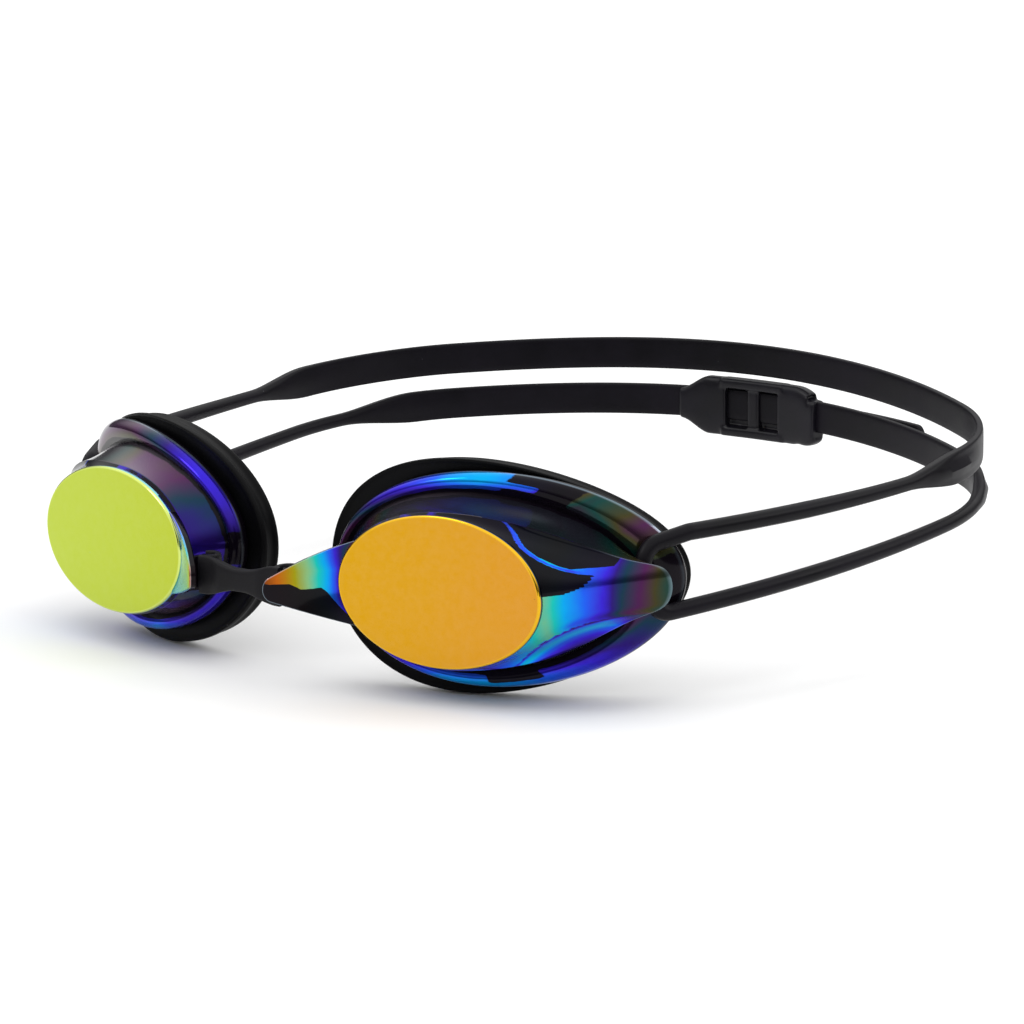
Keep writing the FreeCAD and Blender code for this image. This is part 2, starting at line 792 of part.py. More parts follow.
def main():
    fill_sheet()
    left = EyeCup("left", 1)
    right = EyeCup("right", -1)
    slot = left.world(left.at(size("slot_reach"), size("slot_depth")))
    route = StrapRoute(slot)
    upper = StrapRun("upper", route, "upper_band_run", upper_rear_height())
    lower = StrapRun("lower", route, "lower_band_run", size("lower_rear_height"))
    items = [left.lens(), right.lens(), left.gasket(), right.gasket(), bridge(left, right)]
    items += [
        temple_cord("left_temple_cord", upper, lower, route, 1),
        temple_cord("right_temple_cord", upper, lower, route, -1),
        upper_strap(upper, route),
        lower_strap("left_lower_strap", lower, route, 1),
        lower_strap("right_lower_strap", lower, route, -1),
        buckle(route, lower),
        tail(route, lower),
    ]
    DOCUMENT.recompute()
    check(items)
    flex = route.point(size("flex_run"))
    flex.z = lower.height(flex.y)
    post = left.world(left.post_centre())
    for word, point in (("slot", slot), ("post", post), ("flex", flex), ("rear centre", route.rear_centre)):
        print("AXIS", word, round(point.x, 4), round(point.y, 4), round(point.z, 4))
    print("strap length on each side", round(route.length(), 1))
    os.makedirs("parts", exist_ok=True)
    for item in items:
        item.Shape.exportStep(f"parts/{item.Label}.step")


main()
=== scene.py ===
"""Swim goggles with mirror-coated lenses and a split strap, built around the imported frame.

Lengths in the classes are in millimetres; meshes are scaled to metres when they are made.
Each cup has its own frame: x points out towards the temple, y back towards the face and z up.
"""

import json
import logging
import math
from dataclasses import dataclass, field
from enum import Enum
from functools import cache

import bpy
import numpy as np
from mathutils import Matrix, Vector

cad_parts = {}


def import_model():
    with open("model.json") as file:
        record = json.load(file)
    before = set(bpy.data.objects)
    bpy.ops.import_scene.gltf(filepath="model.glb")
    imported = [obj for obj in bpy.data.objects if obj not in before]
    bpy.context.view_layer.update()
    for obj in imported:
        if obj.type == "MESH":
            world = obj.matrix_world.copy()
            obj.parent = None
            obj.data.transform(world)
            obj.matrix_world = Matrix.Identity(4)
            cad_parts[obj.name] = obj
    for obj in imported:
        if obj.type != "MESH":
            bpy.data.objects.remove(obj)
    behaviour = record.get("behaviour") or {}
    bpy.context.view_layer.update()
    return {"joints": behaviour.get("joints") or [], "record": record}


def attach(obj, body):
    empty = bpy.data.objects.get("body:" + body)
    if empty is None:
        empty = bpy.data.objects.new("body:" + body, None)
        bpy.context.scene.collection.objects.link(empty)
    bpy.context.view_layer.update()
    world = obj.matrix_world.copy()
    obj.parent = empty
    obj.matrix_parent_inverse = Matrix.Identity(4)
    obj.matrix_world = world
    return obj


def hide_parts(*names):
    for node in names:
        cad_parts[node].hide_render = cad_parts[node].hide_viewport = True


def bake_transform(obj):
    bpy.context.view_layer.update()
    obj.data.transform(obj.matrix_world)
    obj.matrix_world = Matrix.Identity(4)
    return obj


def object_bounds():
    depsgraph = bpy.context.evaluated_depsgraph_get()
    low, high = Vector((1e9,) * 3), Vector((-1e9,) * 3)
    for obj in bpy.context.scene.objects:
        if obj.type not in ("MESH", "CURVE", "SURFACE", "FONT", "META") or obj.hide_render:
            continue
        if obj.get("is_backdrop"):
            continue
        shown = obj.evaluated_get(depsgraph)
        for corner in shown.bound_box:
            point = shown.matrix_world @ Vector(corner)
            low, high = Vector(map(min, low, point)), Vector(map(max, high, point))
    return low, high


MM = 0.001
UP = np.array([0.0, 0.0, 1.0])
LOG = logging.getLogger("swim_goggles")

Colour = tuple[float, float, float, float]
Stops = tuple[tuple[float, float], ...]
Piece = bpy.types.Object
Socket = bpy.types.NodeSocket


class Side(Enum):
    """The wearer's left or right; the value is the sign of X."""

    LEFT = 1
    RIGHT = -1

    @property
    def word(self) -> str:
        """The side's name in the nodes and bodies of the frame."""
        return self.name.lower()

    @property
    def mirror(self) -> np.ndarray:
        """What points of the left side are multiplied by to stand on this side."""
        return np.array([self.value, 1.0, 1.0])


# ---------------------------------------------------------------- shared curves


def smooth(low: float, high: float, value: np.ndarray | float) -> np.ndarray | float:
    """A smooth step from 0 at low to 1 at high.

    Args:
        low: Where the step starts; it may be larger than high.
        high: Where the step ends.
        value: The places to read at.

    Returns:
        The step's height at each place.
    """
    share = np.clip((value - low) / (high - low), 0.0, 1.0)
    return share * share * (3 - 2 * share)


def stretch(value: np.ndarray, rise: tuple[float, float], fall: tuple[float, float]) -> np.ndarray:
    """1 along a stretch and 0 off it, with two soft ends, each given as its places of 0 and of 1."""
    return smooth(*rise, value) * smooth(*fall, value)


def swell(value: np.ndarray, middle: float, spread: float) -> np.ndarray:
    """1 at a middle, dying away over a spread on both sides."""
    return np.exp(-(((value - middle) / spread) ** 2))


def through(stops: Stops, value: np.ndarray) -> np.ndarray:
    """Reads heights off straight lines through stops of (place, height)."""
    places, heights = zip(*stops)
    return np.interp(value, places, heights)


def turns(count: int) -> np.ndarray:
    """Evenly spread angles round a full turn."""
    return np.linspace(0.0, 2 * math.pi, count, endpoint=False)


def point_of(values: list[float]) -> np.ndarray:
    """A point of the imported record, in millimetres."""
    return np.array(values, float) / MM


# ---------------------------------------------------------------- shared mesh work


def faces_of_rings(count: int, around: int, loop: bool) -> list[tuple[int, ...]]:
    """Faces between rings of points.

    Args:
        count: How many rings there are.
        around: How many points each ring has.
        loop: True where the last ring joins the first one, and False where poles close both ends.

    Returns:
        The faces, as vertex numbers; the two poles come after the rings' own points.
    """
    index = np.arange(count * around).reshape(count, around)
    turned = np.roll(index, -1, axis=1)
    near, near_turned = index[:-1], turned[:-1]
    far, far_turned = index[1:], turned[1:]
    if loop:
        near, near_turned = index, turned
        far, far_turned = np.roll(index, -1, axis=0), np.roll(turned, -1, axis=0)
    quads = np.stack([near, near_turned, far_turned, far], axis=-1).reshape(-1, 4)
    faces = [tuple(quad) for quad in quads.tolist()]
    if not loop:
        first, last = count * around, count * around + 1
        faces += [(first, b, a) for a, b in zip(index[0].tolist(), turned[0].tolist())]
        faces += [(last, a, b) for a, b in zip(index[-1].tolist(), turned[-1].tolist())]
    return faces


def signed_volume(points: np.ndarray, faces: list[tuple[int, ...]]) -> float:
    """Measures the space that faces enclose.

    Args:
        points: The vertices.
        faces: The faces, of three or four corners.

    Returns:
        Six times the volume, negative where the faces point inwards.
    """
    total = 0.0
    for step in (1, 2):
        whole = [face for face in faces if len(face) > step + 1]
        triples = np.array([(face[0], face[step], face[step + 1]) for face in whole])
        if len(triples):
            a, b, c = (points[triples[:, k]] for k in range(3))
            total += float(np.einsum("ij,ij->", a, np.cross(b, c)))
    return total


def placed(name: str, data: bpy.types.ID) -> Piece:
    """Puts a new object in the scene.

    Args:
        name: The object's name.
        data: The mesh, the light or the camera.

    Returns:
        The object.
    """
    item = bpy.data.objects.new(name, data)
    bpy.context.scene.collection.objects.link(item)
    return item


def solid_of_rings(
    name: str, rings: np.ndarray, traits: dict[str, np.ndarray] | None = None,
    loop: bool = False, crease: float = 40.0,
) -> Piece:
    """A closed mesh through rings of points, its faces outwards.

    Args:
        name: The piece's name.
        rings: Points in millimetres, ring by ring.
        traits: Named values at each point, which become attributes of the mesh.
        loop: True for a closed run of rings, such as a hoop.
        crease: Edges that turn by more than this many degrees stay sharp.

    Returns:
        The new object.
    """
    count, around = rings.shape[:2]
    points = rings.reshape(-1, 3)
    if not loop:
        points = np.vstack([points, rings[0].mean(axis=0), rings[-1].mean(axis=0)])
    faces = faces_of_rings(count, around, loop)
    if signed_volume(points, faces) < 0:
        faces = [face[::-1] for face in faces]
    mesh = bpy.data.meshes.new(name)
    mesh.from_pydata((points * MM).tolist(), [], faces)
    for trait, values in (traits or {}).items():
        flat = np.asarray(values, np.float32).reshape(-1)
        if not loop:
            flat = np.append(flat, [flat[:around].mean(), flat[-around:].mean()])
        mesh.attributes.new(trait, "FLOAT", "POINT").data.foreach_set("value", flat.astype(np.float32))
    mesh.shade_smooth()
    mesh.set_sharp_from_angle(angle=math.radians(crease))
    return placed(name, mesh)


def joined(name: str, parts: list[Piece]) -> Piece:
    """Makes one object out of several.

    Args:
        name: The piece's name.
        parts: The objects; the first one's materials are kept.

    Returns:
        The one object.
    """
    whole = parts[0]
    with bpy.context.temp_override(
        active_object=whole, object=whole, selected_objects=parts, selected_editable_objects=parts,
    ):
        bpy.ops.object.join()
    whole.name = name
    whole.data.name = name
    return whole


def plain_mesh(item: Piece) -> Piece:
    """Swaps an object's mesh for its evaluated one and removes its modifiers.

    Args:
        item: The object.

    Returns:
        The same object.
    """
    graph = bpy.context.evaluated_depsgraph_get()
    mesh = bpy.data.meshes.new_from_object(item.evaluated_get(graph))
    item.modifiers.clear()
    item.data = mesh
    return item


def fused(name: str, parts: list[Piece], voxel: float, rounds: int) -> Piece:
    """Melts overlapping solids into one moulding with soft inner corners.

    Args:
        name: The piece's name.
        parts: The solids.
        voxel: The remesh size in millimetres.
        rounds: How many times the surface is smoothed.

    Returns:
        The one object.
    """
    item = joined(name, parts)
    remesh = item.modifiers.new("melt", "REMESH")
    remesh.mode = "VOXEL"
    remesh.voxel_size = voxel * MM
    soften = item.modifiers.new("soften", "SMOOTH")
    soften.factor = 0.5
    soften.iterations = rounds
    item = plain_mesh(item)
    item.data.shade_smooth()
    return item


# ---------------------------------------------------------------- finishes


def srgb(red: int, green: int, blue: int) -> Colour:
    """A linear colour from display values.

    Args:
        red: The red value, 0 to 255.
        green: The green value, 0 to 255.
        blue: The blue value, 0 to 255.

    Returns:
        The colour, with an alpha of 1.
    """
    parts = []
    for value in (red, green, blue):
        share = value / 255
        parts.append(share / 12.92 if share <= 0.04045 else ((share + 0.055) / 1.055) ** 2.4)
    return (parts[0], parts[1], parts[2], 1.0)


class Nodes:
    """Short calls for building a material's node tree."""

    def __init__(self, name: str) -> None:
        """Starts a material with a Principled shader and an output."""
        self.material = bpy.data.materials.new(name)
        self.material.use_nodes = True
        self.tree = self.material.node_tree
        self.shader = self.tree.nodes["Principled BSDF"]
        self.place = self.add("ShaderNodeTexCoord").outputs["Object"]

    def add(self, kind: str, **settings: object) -> bpy.types.Node:
        """Adds a node.

        Args:
            kind: The node's type.
            settings: Its properties by name.

        Returns:
            The node.
        """
        node = self.tree.nodes.new(kind)
        for key, value in settings.items():
            setattr(node, key, value)
        return node

    def link(self, source: Socket, target: Socket) -> None:
        """Joins two sockets."""
        self.tree.links.new(source, target)

    def feed(self, target: Socket, value: object) -> None:
        """Sets a socket to a plain value or joins another socket to it.

        Args:
            target: The socket.
            value: A number, a colour or another socket.
        """
        if isinstance(value, bpy.types.NodeSocket):
            self.link(value, target)
        else:
            target.default_value = value

    def noise(self, scale: float, detail: float = 3.0, rough: float = 0.5) -> Socket:
        """Noise on Object coordinates.

        Args:
            scale: Waves in a metre.
            detail: How many finer layers are laid over it.
            rough: How strong the finer layers are.

        Returns:
            The noise, from 0 to 1.
        """
        node = self.add("ShaderNodeTexNoise")
        self.link(self.place, node.inputs["Vector"])
        for name, value in (("Scale", scale), ("Detail", detail), ("Roughness", rough)):
            self.feed(node.inputs[name], value)
        return node.outputs["Fac"]

    def trait(self, name: str) -> Socket:
        """One of the mesh's own attributes."""
        return self.add("ShaderNodeAttribute", attribute_name=name).outputs["Fac"]

    def total(self, first: object, second: object) -> Socket:
        """The sum of two values; each is a number or a socket."""
        node = self.add("ShaderNodeMath", operation="ADD")
        self.feed(node.inputs[0], first)
        self.feed(node.inputs[1], second)
        return node.outputs[0]

    def span(self, value: Socket, start: tuple[float, float], end: tuple[float, float]) -> Socket:
        """Maps a value from one range to another, held at the ends.

        Args:
            value: The value.
            start: The range it comes in.
            end: The range it leaves in.

        Returns:
            The mapped value.
        """
        node = self.add("ShaderNodeMapRange", clamp=True)
        self.link(value, node.inputs["Value"])
        for name, number in zip(("From Min", "From Max", "To Min", "To Max"), (*start, *end)):
            node.inputs[name].default_value = number
        return node.outputs["Result"]

    def mix(self, share: Socket, first: object, second: object) -> Socket:
        """Blends two colours.

        Args:
            share: How much of the second colour shows, from 0 to 1.
            first: A colour or a socket.
            second: A colour or a socket.

        Returns:
            The blend.
        """
        node = self.add("ShaderNodeMix", data_type="RGBA", clamp_factor=True)
        self.link(share, node.inputs["Factor"])
        self.feed(node.inputs[6], first)
        self.feed(node.inputs[7], second)
        return node.outputs[2]

    def ramp(self, value: Socket, stops: tuple[tuple[float, Colour], ...]) -> Socket:
        """Colours a value.

        Args:
            value: The place in the row of colours.
            stops: Pairs of (place, colour).

        Returns:
            The colour.
        """
        node = self.add("ShaderNodeValToRGB")
        elements = node.color_ramp.elements
        while len(elements) < len(stops):
            elements.new(0.5)
        for element, (place, colour) in zip(elements, stops):
            element.position = place
            element.color = colour
        self.link(value, node.inputs["Fac"])
        return node.outputs["Color"]

    def bump(self, height: Socket, strength: float, depth: float) -> None:
        """Bumps the shader's normal.

        Args:
            height: The height, from 0 to 1.
            strength: How much of the bump shows.
            depth: The bump's depth in millimetres.
        """
        node = self.add("ShaderNodeBump")
        for name, value in (("Strength", strength), ("Distance", depth * MM), ("Height", height)):
            self.feed(node.inputs[name], value)
        self.put(Normal=node.outputs["Normal"])

    def put(self, **values: object) -> None:
        """Values or sockets for the shader's own sockets; an underscore stands for a space."""
        for name, value in values.items():
            self.feed(self.shader.inputs[name.replace("_", " ")], value)


class Finish:
    """What every finish has: the name of its material, the record's slot for it and a way to make it."""

    name: str
    slot: str

    def build(self) -> bpy.types.Material:
        """Makes the material."""
        raise NotImplementedError

    def coat(self, *pieces: Piece) -> None:
        """Gives pieces the material, made once.

        Args:
            pieces: The pieces.
        """
        for piece in pieces:
            piece.data.materials.clear()
            piece.data.materials.append(material_of(self))


@cache
def material_of(finish: Finish) -> bpy.types.Material:
    """A finish's material, made once."""
    return finish.build()


@dataclass(frozen=True)
class SoftFinish(Finish):
    """A dark moulded rubber or plastic with a fine grain, faint clouding and specks of dust."""

    name: str
    slot: str
    dark: Colour
    light: Colour
    roughness: tuple[float, float]
    specular: float
    cloud_scale: float = 90.0
    grain_scale: float = 2600.0
    grain_strength: float = 0.16
    grain_depth: float = 0.05
    dust_scale: float = 1500.0
    dust_share: float = 0.2
    dust: Colour = srgb(150, 148, 155)

    def build(self) -> bpy.types.Material:
        """Makes the material."""
        nodes = Nodes(self.name)
        cloud = nodes.noise(self.cloud_scale, 4.0, 0.6)
        body = nodes.mix(nodes.span(cloud, (0.32, 0.68), (0.0, 1.0)), self.dark, self.light)
        specks = nodes.span(nodes.noise(self.dust_scale, 1.0, 0.4), (0.82, 0.85), (0.0, self.dust_share))
        nodes.put(Base_Color=nodes.mix(specks, body, self.dust), Specular_IOR_Level=self.specular)
        nodes.put(Roughness=nodes.span(cloud, (0.3, 0.7), self.roughness))
        nodes.bump(nodes.noise(self.grain_scale, 2.0, 0.6), self.grain_strength, self.grain_depth)
        return nodes.material


@dataclass(frozen=True)
class MirrorFinish(Finish):
    """The mirror coating of the flat face: a slow drift of colour, fine scratches and a thin bright rim.

    The trait "drift" runs from the temple to the nose, and "rim" rises towards the edge.
    """

    name: str
    slot: str
    colour: Colour
    drift: Colour
    rim: Colour
    line: Colour
    roughness: float = 0.12
    uneven: float = 0.02
    cloud_scale: float = 38.0
    scratch_scale: float = 600.0
    speck_scale: float = 720.0

    def build(self) -> bpy.types.Material:
        """Makes the material."""
        nodes = Nodes(self.name)
        cloud = nodes.noise(self.cloud_scale, 2.0, 0.5)
        share = nodes.total(nodes.span(cloud, (0.35, 0.65), (-0.08, 0.08)), nodes.trait("drift"))
        body = nodes.mix(share, self.colour, self.drift)
        scratches = nodes.span(nodes.noise(self.scratch_scale, 4.0, 0.7), (0.3, 0.7), (0.0, 0.02))
        body = nodes.mix(scratches, body, (1.0, 1.0, 1.0, 1.0))
        specks = nodes.span(nodes.noise(self.speck_scale, 1.0, 0.3), (0.83, 0.845), (0.0, 0.4))
        body = nodes.mix(specks, body, self.line)
        rim = nodes.trait("rim")
        body = nodes.mix(nodes.span(rim, (0.25, 0.45), (0.0, 1.0)), body, self.rim)
        body = nodes.mix(nodes.span(rim, (0.72, 0.82), (0.0, 1.0)), body, self.line)
        gloss = (self.roughness - self.uneven, self.roughness + self.uneven)
        nodes.put(Base_Color=body, Roughness=nodes.span(cloud, (0.3, 0.7), gloss), Metallic=1.0)
        return nodes.material


@dataclass(frozen=True)
class FilmFinish(Finish):
    """The thin mirror film where the moulding curves away: its colour follows the trait "film".

    A second trait darkens it with a torn edge, for the bare smoky body and as painted shade and painted dark
    reflections; a third adds painted pale light shining through, and "rim" paints a highlight along an edge.
    """

    name: str
    slot: str
    # black and plum: the dark tones of the bare body, also used for the painted shade and painted dark
    # reflections
    black: Colour = srgb(7, 5, 9)
    plum: Colour = srgb(16, 10, 20)
    # The pale colour of painted light shining through the wall.
    haze: Colour = srgb(206, 190, 208)
    # The colour of a painted highlight along edges.
    rim: Colour = srgb(170, 190, 206)
    ripple_scale: float = 110.0
    tear_scale: float = 260.0
    stain_scale: float = 150.0
    smudge_scale: float = 70.0
    stops: tuple[tuple[float, Colour], ...] = (
        (0.00, srgb(84, 34, 10)),
        (0.08, srgb(178, 92, 14)),
        (0.17, srgb(150, 146, 16)),
        (0.25, srgb(128, 178, 120)),
        (0.34, srgb(24, 186, 172)),
        (0.42, srgb(0, 160, 228)),
        (0.49, srgb(30, 92, 232)),
        (0.56, srgb(54, 34, 200)),
        (0.63, srgb(42, 22, 112)),
        (0.70, srgb(20, 52, 70)),
        (0.78, srgb(72, 28, 74)),
        (0.86, srgb(62, 58, 30)),
        (0.93, srgb(20, 62, 58)),
        (1.00, srgb(40, 40, 50)),
    )

    def build(self) -> bpy.types.Material:
        """Makes the material."""
        nodes = Nodes(self.name)
        ripple = nodes.span(nodes.noise(self.ripple_scale, 3.0, 0.55), (0.3, 0.7), (-0.018, 0.018))
        film = nodes.ramp(nodes.total(nodes.trait("film"), ripple), self.stops)
        tear = nodes.span(nodes.noise(self.tear_scale, 4.0, 0.6), (0.25, 0.75), (-0.3, 0.3))
        # Darkening mask: the bare body, plus painted shade and painted dark reflections, with a torn edge.
        veil = nodes.span(nodes.total(nodes.trait("veil"), tear), (0.44, 0.56), (0.0, 0.995))
        dark = nodes.mix(nodes.noise(self.stain_scale, 2.0, 0.5), self.black, self.plum)
        body = nodes.mix(veil, film, dark)
        # Painted pale light shining through the wall.
        body = nodes.mix(nodes.trait("haze"), body, self.haze)
        # Painted highlight along edges.
        body = nodes.mix(nodes.trait("rim"), body, self.rim)
        smudge = nodes.span(nodes.noise(self.smudge_scale, 3.0, 0.6), (0.3, 0.7), (0.08, 0.16))
        nodes.put(Base_Color=body, Metallic=nodes.span(veil, (0.0, 1.0), (0.66, 0.1)), Roughness=smudge)
        nodes.put(Specular_IOR_Level=0.08, Coat_Weight=0.06, Coat_Roughness=0.04)
        return nodes.material


MIRRORS = {
    Side.LEFT: MirrorFinish(
        "mirror_orange", "mirror_orange", colour=srgb(206, 142, 40), drift=srgb(204, 152, 18),
        rim=srgb(226, 178, 40), line=srgb(40, 66, 84),
    ),
    Side.RIGHT: MirrorFinish(
        "mirror_lime", "mirror_lime", colour=srgb(181, 199, 70), drift=srgb(177, 191, 52),
        rim=srgb(206, 222, 120), line=srgb(130, 196, 204),
    ),
}
FILMS = {
    Side.LEFT: FilmFinish("film_left", "mirror_orange"),
    Side.RIGHT: FilmFinish("film_right", "mirror_lime"),
}
GASKET_RUBBER = SoftFinish(
    "gasket_rubber", "gasket_rubber", srgb(4, 4, 5), srgb(8, 8, 10), roughness=(0.36, 0.48), specular=0.07,
)
BRIDGE_RUBBER = SoftFinish(
    "bridge_rubber", "bridge_rubber", srgb(16, 15, 18), srgb(23, 22, 26), roughness=(0.5, 0.62),
    specular=0.15, grain_scale=3400.0, grain_strength=0.3,
)
STRAP_SILICONE = SoftFinish(
    "strap_silicone", "strap_silicone", srgb(9, 8, 12), srgb(18, 15, 23), roughness=(0.34, 0.46),
    specular=0.12, cloud_scale=60.0,
)
BUCKLE_PLASTIC = SoftFinish(
    "buckle_plastic", "buckle_plastic", srgb(12, 11, 16), srgb(20, 18, 26), roughness=(0.28, 0.38),
    specular=0.22, cloud_scale=120.0,
)


# ---------------------------------------------------------------- the lens mouldings


@dataclass(frozen=True)
class Wrap:
    """The upright cylinder that the flange and the gasket wrap round."""

    radius: float = 66.0
    shift: float = 10.0

    def depth(self, out: np.ndarray) -> np.ndarray:
        """How far the wrap has gone back at a place across the cup."""
        return self.radius - np.sqrt(self.radius ** 2 - (out + self.shift) ** 2)


@dataclass(frozen=True)
class Oval:
    """An ellipse across the cup; its half height may grow towards the nose, and it may follow the wrap."""

    half_length: float
    half_height: float
    shift: float = 0.0
    rise: float = 0.0
    depth: float = 0.0
    egg: float = 0.0
    wrap: Wrap | None = Wrap()

    def ring(self, angle: np.ndarray) -> np.ndarray:
        """Finds the oval's points.

        Args:
            angle: Angles from the temple side, upwards.

        Returns:
            Points in the cup's own frame.
        """
        out = self.shift + self.half_length * np.cos(angle)
        up = self.rise + self.half_height * np.sin(angle) * (1 - self.egg * np.cos(angle))
        back = self.depth + (self.wrap.depth(out) if self.wrap else 0.0 * out)
        return np.stack([out, back, up], axis=-1)


FACE = Oval(19.4, 12.9, wrap=None)


def face_oval(share: float = 1.0, grow: float = 0.0, depth: float = 0.0) -> Oval:
    """The flat face's oval, shrunk to a share, grown by a length and set back."""
    return Oval(FACE.half_length * share + grow, FACE.half_height * share + grow, depth=depth, wrap=None)


@dataclass
class CupFrame:
    """Where a cup stands, from the mount on its flat face."""

    side: Side
    origin: np.ndarray
    forward: np.ndarray

    @classmethod
    def from_record(cls, side: Side, record: dict) -> "CupFrame":
        """Reads the face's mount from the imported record.

        Args:
            side: The cup's side.
            record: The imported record.

        Returns:
            The cup's frame.
        """
        mount = next(m for m in record["mounts"] if m["name"] == f"{side.word}_face")
        return cls(side, point_of(mount["pos_m"]), np.array(mount["axis"], float))

    def world(self, points: np.ndarray) -> np.ndarray:
        """Moves points out of the cup's own frame.

        Args:
            points: Points in the cup's frame.

        Returns:
            The points in the frame of the whole object.
        """
        back = -self.forward / np.linalg.norm(self.forward)
        out = self.side.value * np.cross(back, UP)
        return self.origin + points[..., :1] * out + points[..., 1:2] * back + points[..., 2:] * UP


def between(
    first: np.ndarray, last: np.ndarray, steps: int, push: np.ndarray | float = 0.0,
) -> list[np.ndarray]:
    """Rings from first, left out, to last, pushed off the straight line in the middle.

    Args:
        first: The ring to start after.
        last: The ring to end on.
        steps: How many rings are made.
        push: The offset at the middle, for each point.

    Returns:
        The rings.
    """
    rings = []
    for step in range(1, steps + 1):
        share = step / steps
        rings.append(first + (last - first) * share + push * (4 * share * (1 - share)))
    return rings


@dataclass(frozen=True)
class Bow:
    """A line across the wing that is straight at the temple and bends away towards the face."""

    height: float
    bend: float
    end: float
    run: float
    power: float

    def at(self, out: np.ndarray) -> np.ndarray:
        """The line's height at a place across the cup."""
        return self.height + self.bend * np.clip(self.end - out, 0.0, self.run) ** self.power


@dataclass(frozen=True)
class Glow:
    """A patch of painted pale light on the wall, where light comes through, fading from the front to the groove.
    """

    middle: float
    spread: float
    strength: float
    fade: float

    def at(self, signed: np.ndarray, share: np.ndarray) -> np.ndarray:
        """How strong the glow is at angles and at shares of the way back."""
        return self.strength * swell(signed, self.middle, self.spread)[None, :] * (1 - self.fade * share)


@dataclass(frozen=True)
class FilmPattern:
    """The film's pattern on one side's lens, as places in the film's row of colours.

    Wall and flange stops go by the angle round the cup, in degrees from the temple side upwards; the wall's
    are the same above and below. The tab's go by the share of the way from its tip to its root.
    """

    wall: Stops
    flange: Stops
    glows: tuple[Glow, ...]
    tab: Stops


PATTERNS = {
    Side.LEFT: FilmPattern(
        wall=(
            (0.0, 0.80), (25.0, 0.84), (45.0, 0.985), (75.0, 1.0), (100.0, 0.985), (125.0, 0.975),
            (150.0, 0.655), (180.0, 0.61),
        ),
        flange=(
            (-180.0, 0.78), (-150.0, 0.68), (-125.0, 0.57), (-105.0, 0.45), (-88.0, 0.41),
            (-70.0, 0.47), (-50.0, 0.56), (-30.0, 0.66), (-10.0, 0.76), (10.0, 0.90),
            (32.0, 0.80), (42.0, 0.88), (52.0, 0.95), (70.0, 0.50), (88.0, 0.41),
            (100.0, 0.44), (115.0, 0.54), (135.0, 0.60), (155.0, 0.72), (180.0, 0.78),
        ),
        glows=(Glow(118.0, 26.0, 0.12, 0.5),),
        tab=(
            (0.0, 0.02), (0.15, 0.06), (0.3, 0.10), (0.4, 0.15), (0.52, 0.20), (0.62, 0.26), (0.7, 0.32),
            (0.78, 0.38), (0.86, 0.45), (0.93, 0.52), (1.0, 0.62),
        ),
    ),
    Side.RIGHT: FilmPattern(
        wall=(
            (0.0, 0.80), (25.0, 0.84), (45.0, 0.985), (75.0, 1.0), (100.0, 0.77), (125.0, 0.775),
            (150.0, 0.655), (180.0, 0.61),
        ),
        flange=(
            (-180.0, 0.66), (-150.0, 0.60), (-125.0, 0.56), (-105.0, 0.46), (-88.0, 0.50),
            (-70.0, 0.56), (-50.0, 0.64), (-30.0, 0.72), (-10.0, 0.80), (10.0, 0.88),
            (32.0, 0.80), (42.0, 0.76), (52.0, 0.72), (70.0, 0.76), (88.0, 0.79),
            (100.0, 0.73), (115.0, 0.62), (135.0, 0.56), (155.0, 0.58), (180.0, 0.66),
        ),
        glows=(Glow(104.0, 22.0, 0.14, 0.5), Glow(-108.0, 26.0, 0.3, 1.0)),
        tab=((0.0, 0.06), (0.12, 0.2), (0.3, 0.36), (1.0, 0.43)),
    ),
}


